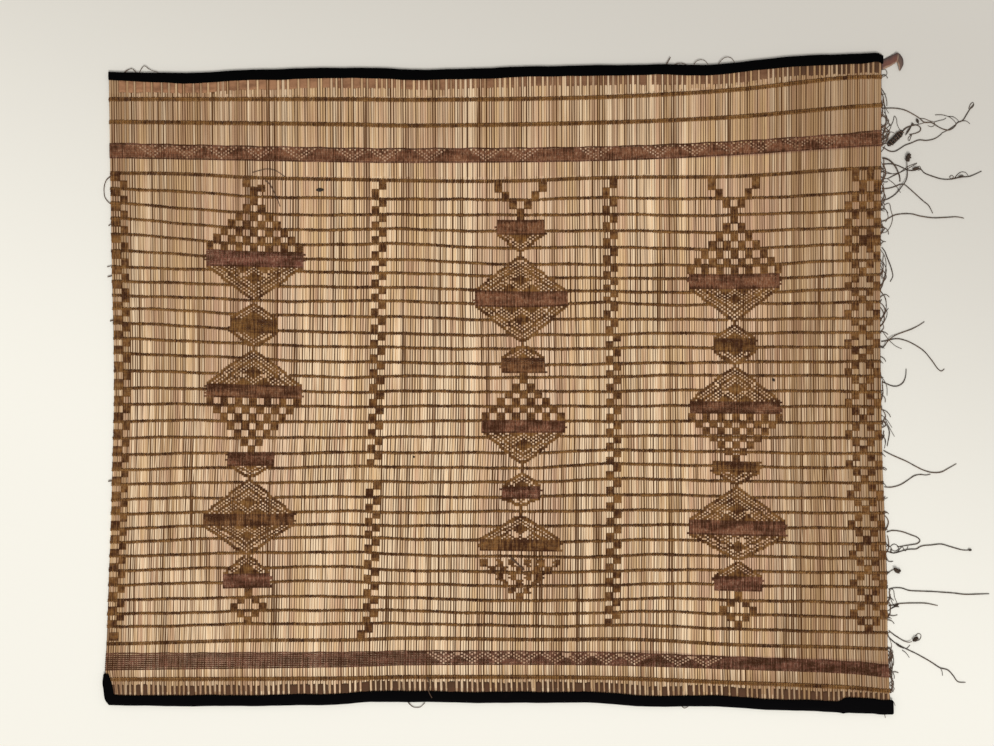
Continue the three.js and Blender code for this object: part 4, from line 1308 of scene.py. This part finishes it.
def smooth_path(points, step):
    """Evenly spaced places on the smooth curve through the points."""
    points = np.asarray(points, float)
    before = 2 * points[0] - points[1]
    after = 2 * points[-1] - points[-2]
    chain = np.vstack([before, points, after])
    fine = []
    t = np.linspace(0, 1, 24, endpoint=False)[:, None]
    for i in range(1, len(chain) - 2):
        p0, p1, p2, p3 = chain[i - 1 : i + 3]
        d0, d1, d2 = (max(np.linalg.norm(b - a), 1e-8) ** 0.5 for a, b in ((p0, p1), (p1, p2), (p2, p3)))
        t1 = ((p1 - p0) / d0 - (p2 - p0) / (d0 + d1) + (p2 - p1) / d1) * d1
        t2 = ((p2 - p1) / d1 - (p3 - p1) / (d1 + d2) + (p3 - p2) / d2) * d1
        square = -3 * p1 + 3 * p2 - 2 * t1 - t2
        cube = 2 * p1 - 2 * p2 + t1 + t2
        fine.append(p1 + t1 * t + square * t**2 + cube * t**3)
    fine = np.vstack(fine + [points[-1:]])
    run_length = np.concatenate([[0], np.cumsum(np.linalg.norm(np.diff(fine, axis=0), axis=1))])
    count = max(6, int(round(run_length[-1] / step)))
    at = np.linspace(0, run_length[-1], count + 1)
    return np.stack([np.interp(at, run_length, fine[:, i]) for i in range(fine.shape[1])], axis=1), at


def loft(name, rings, material):
    """A closed skin over rings that have the same number of points."""
    rings = np.array(rings, float)
    count, sides, _ = rings.shape
    points = rings.reshape(-1, 3).copy()
    points[:, :2] -= ORIGIN
    faces = []
    for i in range(count - 1):
        for j in range(sides):
            after = (j + 1) % sides
            here, there = i * sides, (i + 1) * sides
            faces.append((here + j, here + after, there + after, there + j))
    faces.append(range(sides)[::-1])
    faces.append(range((count - 1) * sides, count * sides))
    mesh = bpy.data.meshes.new(name)
    mesh.from_pydata(points.tolist(), [], faces)
    mesh.materials.append(material)
    form = bmesh.new()
    form.from_mesh(mesh)
    bmesh.ops.recalc_face_normals(form, faces=form.faces)
    form.to_mesh(mesh)
    form.free()
    mesh.polygons.foreach_set("use_smooth", [True] * len(mesh.polygons))
    return place(mesh, name)


def fold_section(lap, under, top, wall, crown):
    """A folded strip in section: distance in from its outer edge, and height."""
    outer = [(under, 0.0), (under * 0.5, 0.0), (2.2 * MM, 0.0), (1.0 * MM, 0.12 * MM)]
    nose = [(0.35 * MM, 0.6 * MM), (0.0, 1.5 * MM), (0.0, top - 1.6 * MM), (0.4 * MM, top - 0.7 * MM),
            (1.1 * MM, top - 0.15 * MM)]
    upper = [(lap * 0.25, top + crown * 0.8), (lap * 0.5, top + crown), (lap * 0.75, top + crown * 0.6),
             (lap * 0.93, top), (lap, top - 0.25 * MM), (lap, top - wall)]
    inner = [(2.0 * MM, top - wall), (2.0 * MM, wall), (under, wall)]
    return outer + nose + upper + inner


def ring_across(stem, start, sign, section):
    """A section stood up at a stem: its distances in from a place along the stem, and its heights."""
    rows = [(start + sign * inward, z) for inward, z in section]
    return [(float(stem_x(stem, y)), y, z) for y, z in rows]


def shrunk(ring, shift, shares=(1, 1, 1)):
    """A ring moved, and drawn in towards its middle."""
    ring = np.array(ring) + shift
    middle = ring.mean(axis=0)
    return middle + (ring - middle) * shares


BINDING_HEIGHT = 5.5 * MM
BINDING_WALL = 1.2 * MM
BINDING_STEPS = 260


def binding_rings(edge, lap, shares, past, rng, rounding=0.0):
    """Sections of a binding along the mat, with a worker's small unevenness."""
    top = edge is TOP_EDGE
    sign = -1 if top else 1
    x = stem_x(shares * STEMS - 0.5, 0.0)
    near_end = np.clip((x - x[-1]) / 0.012 + 1, 0, 1)
    outer = along(edge, x) + ripple(rng, x, 0.5 * MM, 0.11) + sign * rounding * near_end**3
    wider = np.clip((x + 0.6) / 0.12, 0, 1) - 0.65 * np.clip((x - 0.565) / 0.02, 0, 1)
    width = lap + ripple(rng, x, 0.6 * MM, 0.16) + (3.4 if top else 1.2) * MM * wider
    crown = 0.35 * MM + ripple(rng, x, 0.35 * MM, 0.05)
    if not top:
        outer = outer - 1.6 * MM * hump(x, 0.5235, 0.007) - 1.0 * MM * hump(x, 0.58, 0.014)
        width = width + 7.0 * MM * np.clip((x - 0.517) / 0.008, 0, 1)
    rings = []
    for i, share in enumerate(shares):
        section = fold_section(width[i], lap, BINDING_HEIGHT, BINDING_WALL, crown[i])
        rings.append(ring_across(share * STEMS - 0.5, outer[i], sign, section))
    end = rings[-1]
    return [*rings, shrunk(end, (0.6 * past, 0, 0)), shrunk(end, (past, 0, 0), (1, 0.86, 0.8))]


# The bottom binding's left end, folded up over the corner, in millimetres: outer x and y, inner x and y.
CORNER_FOLD = (
    (-608.8, -447.5, -600.5, -447.5), (-610.4, -460, -597, -458), (-609, -471, -593.8, -470),
    (-606.4, -487, -592.6, -477), (-600.4, -495.2, -591.6, -479),
)
# The corner tab along its length: middle x and y, height and half width in millimetres, and the direction
# across it in degrees.
TAB_STATIONS = (
    (595.5, 495.2, 0.6, 8.1, 90), (600.6, 497.5, 0.9, 8.2, 92), (607.6, 501, 1.3, 8.1, 93),
    (614.6, 504.7, 2, 7.9, 91), (619.4, 506.9, 3.2, 7.7, 88), (622, 504.1, 3.9, 7.6, 74),
    (624.6, 499.1, 3.6, 7, 60), (625.6, 493.5, 3, 5.3, 46), (624.6, 488.9, 2.4, 2.6, 36),
    (623.7, 486.4, 2, 0.9, 30),
)
# The tab's section: share of its half width, and height.
TAB_SECTION = (
    (-1, 0), (-0.86, 0.5), (0, 0.3), (0.86, 0.5), (1, 0), (0.86, -0.4), (0, -0.45), (-0.86, -0.4),
)
# The camera looks straight down: its place over the mat, the width it takes in, and its lens and sensor.
EYE = (-0.0098, 0.0163)
VIEW_WIDTH = 1.5407
LENS = 50
SENSOR = 36
# The window's light: strength, softness, and how it is tilted and turned, in degrees.
SUN_STRENGTH = 1.75
SUN_SOFTNESS = 22
SUN_TILT = 38
SUN_TURN = 12
FLOOR_REACH = 6
WHITE = (1.0, 1.0, 1.0, 1.0)


class MAT_OT_stage(bpy.types.Operator):
    """Make the camera, the floor and the light"""

    bl_idname = "mat.stage"
    bl_label = "Stage"

    def execute(self, context):
        scene = context.scene
        camera = bpy.data.cameras.new("camera")
        camera.lens = LENS
        camera.sensor_width = SENSOR
        eye = bpy.data.objects.new("camera", camera)
        eye.location = (*EYE, VIEW_WIDTH * LENS / SENSOR)
        scene.collection.objects.link(eye)
        scene.camera = eye
        self.lay_floor()
        sun = bpy.data.lights.new("window", "SUN")
        sun.energy = SUN_STRENGTH
        sun.angle = math.radians(SUN_SOFTNESS)
        lamp = bpy.data.objects.new("window", sun)
        lamp.rotation_euler = (math.radians(SUN_TILT), 0, math.radians(SUN_TURN))
        scene.collection.objects.link(lamp)
        scene.world = self.studio()
        scene.view_settings.view_transform = "Standard"
        return {"FINISHED"}

    @staticmethod
    def lay_floor():
        """A plain square floor, wider than the view."""
        mesh = bpy.data.meshes.new("floor")
        signs = ((-1, -1), (1, -1), (1, 1), (-1, 1))
        corners = [(x * FLOOR_REACH, y * FLOOR_REACH, 0) for x, y in signs]
        mesh.from_pydata(corners, [], [(0, 1, 2, 3)])
        mesh.materials.append(plain_floor())
        place(mesh, "floor")

    @staticmethod
    def studio():
        """Soft white light from all round, brighter where it is looked at."""
        world = bpy.data.worlds.new("studio")
        world.use_nodes = True
        world.node_tree.nodes.clear()
        n = Nodes(world.node_tree)
        lit = n.add("ShaderNodeBackground", {"Color": WHITE, "Strength": 0.5})
        seen = n.add("ShaderNodeBackground", {"Color": WHITE, "Strength": 1.0})
        kinds = ("Is Camera Ray", "Is Glossy Ray", "Is Transmission Ray")
        to_camera, to_gloss, through = (n.add("ShaderNodeLightPath", output=kind) for kind in kinds)
        shown = n.math("MAXIMUM", n.math("MAXIMUM", to_camera, to_gloss), through)
        mixed = n.add("ShaderNodeMixShader", {0: shown, 1: lit, 2: seen})
        n.add("ShaderNodeOutputWorld", {"Surface": mixed})
        return world


def turned(x, y, heading, reach, side):
    """Places given along and across a heading, from a middle."""
    return (
        x + reach * math.cos(heading) - side * math.sin(heading),
        y + reach * math.sin(heading) + side * math.cos(heading),
    )


def winding(middle, length, width, rng):
    """A thong wound tightly round its own end, over a core."""
    turns = max(3, int(round((length - width * 0.5) / (1.9 * STRAND))))
    angle = np.linspace(0, 2 * math.pi * turns, turns * 12 + 1)
    share = angle / angle[-1]
    half_length = length / 2 - STRAND
    round_off = np.sqrt(np.clip(1 - np.abs(2 * share - 1) ** 4, 0.12, 1))
    uneven = ripple(rng, share, 0.22, 0.5) + 0.1 * rng.standard_normal(len(share))
    radius = (width / 2 - STRAND) * round_off * (1 + np.clip(uneven, -0.3, 0.25))
    reach = half_length * (2 * share - 1) + 0.5 * MM * np.sin(angle * 0.37) * np.sin(math.pi * share)
    height = min(width, 6.9 * MM)
    z = height / 2 + CLEARANCE + radius * np.sin(angle) * height / width
    x, y = turned(*middle, reach, radius * np.cos(angle))
    outside = rows_of(x, y, np.maximum(z, STRAND), STRAND, 0.9, share * turns * 0.02, 0)
    core = np.linspace(-1, 1, 5)
    bulk = 0.9 * (height / 2 - STRAND) * np.array([0.5, 0.95, 1, 0.95, 0.5])
    x, y = turned(*middle, core * half_length, 0)
    return [outside, rows_of(x, y, height / 2 + CLEARANCE, bulk, 1.0, core * 0.01, 0)]


def loop(middle, reach, side, up, half, tone, brown):
    """A path given along and across a bundle."""
    x, y = turned(*middle, reach, side)
    return rows_of(x, y, np.maximum(up, STRAND), half, tone, np.linspace(0, 0.05, len(x)), brown)


def skein(middle, length, width, rng):
    """A bundle of loops folded lengthwise, with a few turns of the same thong round them. The turns are
    painted paler than the loops, as painted highlights.
    """
    paths = []
    for i in range(8):
        angle = np.linspace(0, 2 * math.pi, 25)
        long_half = (length / 2 - STRAND) * rng.uniform(0.6, 1.0)
        wide_half = (width / 2 - STRAND) * rng.uniform(0.35, 1.0)
        reach = long_half * np.cos(angle) + (length / 2 - STRAND - long_half) * rng.uniform(-1, 0.6)
        side = wide_half * np.sin(angle) + rng.uniform(-1.2, 1.2) * MM * np.cos(angle)
        side = side + 0.5 * MM * np.sin(angle * 5 + rng.uniform(0, 6))
        up = (0.9 + 0.45 * i) * MM + 0.6 * MM * np.sin(angle + rng.uniform(0, 6))
        paths.append(loop(middle, reach, side, up, STRAND, rng.uniform(1.2, 2.2), 0))
    for start in np.linspace(-0.86, 0.7, 7):
        angle = np.linspace(-0.3, math.pi + 0.3, 12)
        reach = start * length / 2 + (angle - 1.5) * rng.uniform(-1.1, 1.4) * MM
        wide = (width / 2 - 0.5 * MM) * math.sqrt(1 - 0.8 * start**2) * rng.uniform(0.75, 1.1)
        up = 2.4 * MM + 2.6 * MM * np.sin(angle)
        # Painted highlights: the turns round the bundle get a paler tone than its loops, though they are
        # the same thong.
        tone = rng.uniform(-0.2, 0.5)
        paths.append(loop(middle, reach, wide * np.cos(angle), up, STRAND * 0.8, tone, 1))
    return paths


class MAT_OT_loose_thongs(bpy.types.Operator):
    """Make the long loose thongs and their knots"""

    bl_idname = "mat.loose_thongs"
    bl_label = "Loose thongs"

    def execute(self, context):
        rng = np.random.default_rng(SEED)
        leather = loose_leather()
        knots = {row[0]: self.knot(leather, *row) for row in KNOTS}
        for name, route in THONGS.items():
            width = WIDER_THONGS.get(name, THONG_WIDTH)
            radius = width / 2
            points = places(route)
            edge = float(spine_x(points[0, 1])) + 1.3 * MM
            slant = math.atan2(points[1, 1] - points[0, 1], points[1, 0] - edge)
            if name != FREE_START:
                points[0, 0] = edge + 1.2 * radius * abs(math.sin(slant))
            points[:, 2] += radius + CLEARANCE
            path, at = smooth_path(points, 2.2 * MM)
            taper = 1 - 0.35 * np.clip((at - at[-1] + 0.02) / 0.02, 0, 1)
            wide = radius * 0.92 * taper * (1 + 0.06 * rng.standard_normal(len(at)))
            rows = rows_of(*path.T, wide, rng.random(), at, 0)
            piece = seat(sweep("loose_" + name, [rows], leather, 8), "thong_" + name)
            path[:, :2] -= ORIGIN
        return {"FINISHED"}

    @staticmethod
    def knot(leather, name, x, y, length, width, turn):
        """The bundle is a skein, and the rest are wound. Each has draws of its own."""
        rng = np.random.default_rng(SEED + int(length))
        shape = skein if name == "bundle" else winding
        paths = shape((x * MM, y * MM, math.radians(turn)), length * MM, width * MM, rng)
        return seat(sweep("wound_" + name, paths, leather, 6), "knot_" + name)


class MAT_OT_stems(bpy.types.Operator):
    """Lay the grass stems"""

    bl_idname = "mat.stems"
    bl_label = "Stems"

    def execute(self, context):
        paths = stem_paths(np.random.default_rng(SEED))
        piece = sweep("stems", paths, grass_stem(), 8, flatness=STEM_FLATNESS / sizes().stem_fill)
        seat(piece, "stem_field")
        return {"FINISHED"}


class MAT_OT_twined_lines(bpy.types.Operator):
    """Twine the thongs over and under the stems"""

    bl_idname = "mat.twined_lines"
    bl_label = "Twined lines"

    def execute(self, context):
        rng = np.random.default_rng(SEED)
        leather = twined_leather()
        outer = {"tone": 0.1, "width": 3.5 * MM}
        doubled = [(partial(row_y, heights), 1.35 * MM, outer) for heights in OUTER_ROWS.values()]
        doubled += [(partial(line_y, k), 1.25 * MM, {"width": 2.8 * MM}) for k in (0, LAST_LINE)]
        strands = []
        for height, off, kind in doubled:
            for shift in (-off, off):
                strands.extend(twined(moved(height, shift), 0, LAST_STEM, rng, **kind))
        self.finish("outer_lines", strands, leather)
        for name, lines in (("upper_lines", range(1, 16)), ("lower_lines", range(16, LAST_LINE))):
            strands = []
            for k in lines:
                for first, last in self.spans(k):
                    strands.extend(twined(self.wavy(k), first, last, rng))
            self.finish(name, strands, leather)
        return {"FINISHED"}

    @staticmethod
    def wavy(k):
        """A line's height function, with a small wave of its own."""
        slow, quick = np.random.default_rng(k).uniform(0, 6.3, 2)

        def height(x):
            return line_y(k, x) + 0.5 * MM * np.sin(x * 31 + slow) + 0.3 * MM * np.sin(x * 83 + quick)

        return height

    @staticmethod
    def spans(k):
        """The stretches of a line outside the solid figures."""
        start = 0
        found = []
        for middle, parts in COLUMNS.values():
            half = half_at(parts, k)
            if half is not None:
                found.append((start, middle - int(half) - 1))
                start = middle + int(half) + 1
        return [*found, (start, LAST_STEM)]

    @staticmethod
    def finish(name, strands, leather):
        seat(sweep(name, strands, leather, 4, flatness=0.34), "stem_field")


class MAT_OT_figures(bpy.types.Operator):
    """Work the figures of the three columns, the borders and the bands"""

    bl_idname = "mat.figures"
    bl_label = "Figures"

    def execute(self, context):
        rng = np.random.default_rng(SEED + 1)
        leather = bpy.data.materials.get("twined_leather") or twined_leather()
        for name, (middle, parts) in COLUMNS.items():
            self.finish(name, column_rows(middle, parts, rng), leather)
        self.finish("border_blocks", border_blocks(rng), leather)
        self.finish("top_band", band_rows("top", rng), leather)
        self.finish("bottom_band", band_rows("bottom", rng), leather)
        return {"FINISHED"}

    @staticmethod
    def finish(name, paths, leather):
        for path in paths:
            path[:, 3] *= BOX_SPREAD
        piece = sweep(name, paths, leather, 4, flatness=0.3, boxed=True)
        seat(piece, "stem_field")


class MAT_OT_bindings(bpy.types.Operator):
    """Fold the black bindings over the stem ends"""

    bl_idname = "mat.bindings"
    bl_label = "Bindings"

    def execute(self, context):
        leather = black_leather()
        rng = np.random.default_rng(SEED + 2)
        shares = np.linspace(0, 1, BINDING_STEPS)
        top = binding_rings(TOP_EDGE, TOP_LAP, shares, 2.4 * MM, rng, 4.0 * MM)
        start = shrunk(top[0], (-0.4 * MM, 0, 0), (1, 0.88, 0.8))
        seat(loft("upper_binding", [start, *top], leather), "binding_top")
        shares = np.linspace(0.012, 1, BINDING_STEPS)
        bottom = binding_rings(BOTTOM_EDGE, BOTTOM_LAP, shares, 4.8 * MM, rng)
        fold = self.folded_end()
        tip = shrunk(fold[0], (0, 0.8 * MM, 0), (0.75, 1, 0.8))
        piece = loft("lower_binding", [tip, *fold, *bottom], leather)
        seat(piece, "binding_bottom")
        return {"FINISHED"}

    @staticmethod
    def folded_end():
        """Sections of the bottom binding's left end."""
        rings = []
        for x0, y0, x1, y1 in smooth_path(np.array(CORNER_FOLD) * MM, 1.6 * MM)[0]:
            wide, long = x1 - x0, y1 - y0
            reach = math.hypot(wide, long)
            section = fold_section(reach, 2.4 * MM, 6.0 * MM, BINDING_WALL, 0.3 * MM)
            rings.append([(x0 + wide * far / reach, y0 + long * far / reach, z) for far, z in section])
        return rings


class MAT_OT_edge_strips(bpy.types.Operator):
    """Weave the wide brown strips over and under the stems beside the bindings"""

    bl_idname = "mat.edge_strips"
    bl_label = "Edge strips"

    def execute(self, context):
        leather = strip_leather()
        rng = np.random.default_rng(SEED + 3)
        for name, edge, lap, width, node in (
            ("upper_strip", TOP_EDGE, TOP_LAP, TOP_STRIP, "strip_top"),
            ("lower_strip", BOTTOM_EDGE, BOTTOM_LAP, BOTTOM_STRIP, "strip_bottom"),
        ):
            piece = loft(name, self.rings(edge, lap - STRIP_TUCK, width, rng), leather)
            seat(piece, node)
        return {"FINISHED"}

    @staticmethod
    def stems_crossed(top, rng):
        """Whether the strip passes over each stem: longer stretches at the top's first stems."""
        over = []
        while len(over) < STEMS:
            chances = [0.2, 0.45, 0.35] if top and len(over) < 100 else [0.8, 0.16, 0.04]
            over.extend([True] * rng.choice([1, 2, 3], p=chances))
            over.extend([False] * rng.choice([1, 2], p=[0.9, 0.1]))
        over = np.array(over[:STEMS])
        over[:4] = not top
        return np.repeat(over, 2)

    def rings(self, edge, near, width, rng):
        """Sections of the strip, two to a stem."""
        top = edge is TOP_EDGE
        sign = -1 if top else 1
        over = self.stems_crossed(top, rng)
        stems = np.repeat(np.arange(STEMS, dtype=float), 2)
        height = np.where(over, lying_on(stems) + 0.15 * MM, lying_under(stems) - 0.05 * MM)
        height = with_ends(STEM_MIDDLE, height, STEM_MIDDLE)
        at = with_ends(-0.5, stems + np.tile([-0.3, 0.3], STEMS), STEMS - 0.5)
        x = stem_x(at, 0.0)
        start = along(edge, x) + sign * near
        far = width + STRIP_TUCK + ripple(rng, x, 1.1 * MM, 0.12) + 0.5 * MM * rng.standard_normal(len(x))
        rings = []
        for stem, begin, reach, z in zip(at, start, far, height):
            section = [(reach * share, z + (up + 0.35) * MM) for share, up in STRIP_SECTION]
            rings.append(ring_across(stem, begin, sign, section))
        return rings


class MAT_OT_corner_tab(bpy.types.Operator):
    """Shape the red-brown tab at the corner"""

    bl_idname = "mat.corner_tab"
    bl_label = "Corner tab"

    def execute(self, context):
        # The turns are scaled down, so that they hardly count in the length along the tab.
        little = 1e-5
        path, _ = smooth_path(np.array(TAB_STATIONS) * [MM, MM, MM, MM, little], 1.2 * MM)
        rng = np.random.default_rng(SEED + 4)
        rings = []
        finish = []
        for i, (x, y, z, half, turn) in enumerate(path):
            heading = math.radians(turn / little)
            wave = 0.25 * MM * math.sin(i * 0.9)
            folded = float(np.clip((x - 0.6165) / 0.003, 0, 1) * np.clip(i - len(path) // 2, 0, 1))
            crease = abs(x - 0.6202) < 0.0008 and y > 0.498
            ring = []
            for share, up in TAB_SECTION:
                reach = half * share * (1 + 0.03 * rng.standard_normal())
                lift = (up * 1.1 + 0.3 * share + 0.25) * MM + wave * share
                ring.append((*turned(x, y, heading, reach, 0), z + lift))
                finish.append((float(share < -0.8 or crease), folded, float(share > 0.8)))
            rings.append(ring)
        piece = loft("folded_tab", rings, tab_leather())
        set_values(piece.data, "finish", "FLOAT_VECTOR", finish)
        smooth = piece.modifiers.new("smooth", "SUBSURF")
        smooth.levels = 1
        smooth.render_levels = 1
        seat(piece, "corner_tab")
        return {"FINISHED"}


def tooth(at, out, drop, bow, rng):
    """A short end of the fringe, bowed on its way out."""
    t = np.linspace(0, 1, 12)
    length = math.hypot(out, drop)
    bulge = 4 * t * (1 - t) * bow / length
    root = 1.5 * MM
    x = float(spine_x(at)) - root + (out + root) * t + bulge * abs(drop)
    y = at + drop * t + bulge * out
    z = 0.8 * MM + 1.5 * MM * np.exp(-t * 9) + 0.5 * MM * np.sin(t * 3)
    wide = 0.72 * MM * (1 - 0.3 * t) * (1 + 0.1 * rng.standard_normal(12))
    return rows_of(x, y, z, wide, rng.random(), t * length, 0)


def lump(start, end, half, height, tone):
    """A knot or a spot between two places in millimetres: a short path, widest in its middle."""
    widths = np.array([0.15, 0.62, 0.95, 1.0, 0.85, 0.6, 0.12])
    t = np.linspace(0, 1, len(widths))
    x, y = (np.linspace(a, b, len(widths)) * MM for a, b in zip(start, end))
    return rows_of(x, y, height * MM, half * MM * widths, tone, t * 0.01, 0)


def tangle(top, bottom, reach, rng):
    """A thong end wandering beside the last stem."""
    t = np.linspace(0, 1, 5)
    tall = min(top - bottom, rng.uniform(0.012, 0.036))
    start = rng.uniform(bottom, top - tall)
    y = start + tall * t + rng.uniform(-1.2, 1.2, 5) * MM
    out = rng.uniform(0.3, 0.95) * np.sin(math.pi * t) + rng.uniform(-0.12, 0.12, 5)
    x = spine_x(y) + reach * out
    x[[0, -1]] = spine_x(y[[0, -1]]) + [-0.3 * MM, rng.choice([-0.3 * MM, reach * 0.5])]
    z = rng.uniform(0.7, 2.2, 5) * MM
    path, at = smooth_path(np.stack([x, y, z], axis=1), 2.4 * MM)
    wide = rng.uniform(0.45, 0.95) * MM * (1 - 0.25 * at / at[-1])
    path[:, 2] = np.maximum(path[:, 2], wide)
    return rows_of(*path.T, wide, rng.uniform(0, 0.7), at, 1)


def wrap(y, rng):
    """A line's two ends, turned round the last stem and left short."""
    found = []
    x = float(stem_x(LAST_STEM, y))
    radius = STEM_RADII[LAST_STEM] + 0.5 * MM
    for shift in (-0.8 * MM, 0.8 * MM):
        angle = np.linspace(math.pi * 0.5, -math.pi * 0.6, 8)
        px = x + radius * np.cos(angle)
        pz = np.maximum(STEM_MIDDLE + STEM_FLATNESS * radius * np.sin(angle), 0.6 * MM)
        py = y + shift + rng.uniform(-0.4, 0.4) * MM + 0.6 * MM * np.cos(angle)
        found.append(rows_of(px, py, pz, 0.8 * MM, 0.3, angle * 0.002, 0))
    for _ in range(rng.integers(1, 3)):
        reach = rng.uniform(3, 8) * MM
        turn = rng.uniform(-1.0, 0.8)
        t = np.linspace(0, 1, 6)
        bend = turn + rng.uniform(-0.7, 0.7) * t
        px = x + radius - 0.4 * MM + np.cumsum(np.cos(bend)) * reach / 6
        py = y + np.cumsum(np.sin(bend)) * reach / 6
        pz = 0.7 * MM + 1.2 * MM * (1 - t)
        found.append(rows_of(px, py, pz, 0.55 * MM * (1 - 0.4 * t), rng.random(), t * reach, 0))
    return found


class MAT_OT_fringe(bpy.types.Operator):
    """Lay the short thong ends along the last stem, and the stray threads"""

    bl_idname = "mat.fringe"
    bl_label = "Fringe"

    def execute(self, context):
        rng = np.random.default_rng(SEED + 5)
        paths = [tooth(*(value * MM for value in row), rng) for row in TEETH]
        for route in LOOSE_ENDS:
            path, at = smooth_path(places(route, 0.8), 2 * MM)
            paths.append(rows_of(*path.T, 0.55 * MM * (1 - 0.3 * at / at[-1]), rng.random(), at, 0))
        for *where, count in TANGLES:
            paths.extend(tangle(*(value * MM for value in where), rng) for _ in range(count))
        paths.extend(lump(start, end, half, half + 0.3, 1.0) for start, end, half in LUMPS)
        for k in range(len(LINES)):
            paths.extend(wrap(float(line_y(k, 0.596)), rng))
        self.finish("fringe", paths, "fringe_right", 1.0)
        strays = []
        for half, height, route in STRAYS:
            path, at = smooth_path(places(route, height), 2 * MM)
            wide = half * MM * (1 - 0.3 * at / at[-1]) * (1 + 0.1 * rng.standard_normal(len(at)))
            strays.append(rows_of(*path.T, wide, 0.7, at, 1.6))
        strays.extend(lump(start, end, half, 4.7, 1.6) for start, end, half in SPOTS)
        self.finish("stray_threads", strays, "stem_field", 0.5)
        return {"FINISHED"}

    @staticmethod
    def finish(name, paths, node, flatness):
        leather = bpy.data.materials["loose_thong_leather"]
        seat(sweep(name, paths, leather, 6, flatness=flatness), node)


OPERATORS = (
    MAT_OT_stage, MAT_OT_loose_thongs, MAT_OT_stems, MAT_OT_twined_lines, MAT_OT_figures, MAT_OT_bindings,
    MAT_OT_edge_strips, MAT_OT_corner_tab, MAT_OT_fringe,
)


class MAT_PT_panel(bpy.types.Panel):
    """Lists the mat's pieces"""

    bl_idname = "MAT_PT_panel"
    bl_label = "Stem and thong mat"
    bl_space_type = "VIEW_3D"
    bl_region_type = "UI"
    bl_category = "Mat"

    def draw(self, context):
        for operator in OPERATORS:
            self.layout.operator(operator.bl_idname)
        for group in (context.scene.mat_sizes, context.scene.mat_colours):
            box = self.layout.box()
            for name in group.__annotations__:
                box.prop(group, name)


CLASSES = (MatSizes, MatColours, *OPERATORS, MAT_PT_panel)


def register():
    for cls in CLASSES:
        bpy.utils.register_class(cls)
    bpy.types.Scene.mat_sizes = PointerProperty(type=MatSizes)
    bpy.types.Scene.mat_colours = PointerProperty(type=MatColours)


def unregister():
    del bpy.types.Scene.mat_colours
    del bpy.types.Scene.mat_sizes
    for cls in reversed(CLASSES):
        bpy.utils.unregister_class(cls)


def main():
    register()
    for operator in OPERATORS:
        group, name = operator.bl_idname.split(".")
        getattr(getattr(bpy.ops, group), name)()


if __name__ == "__main__":
    main()
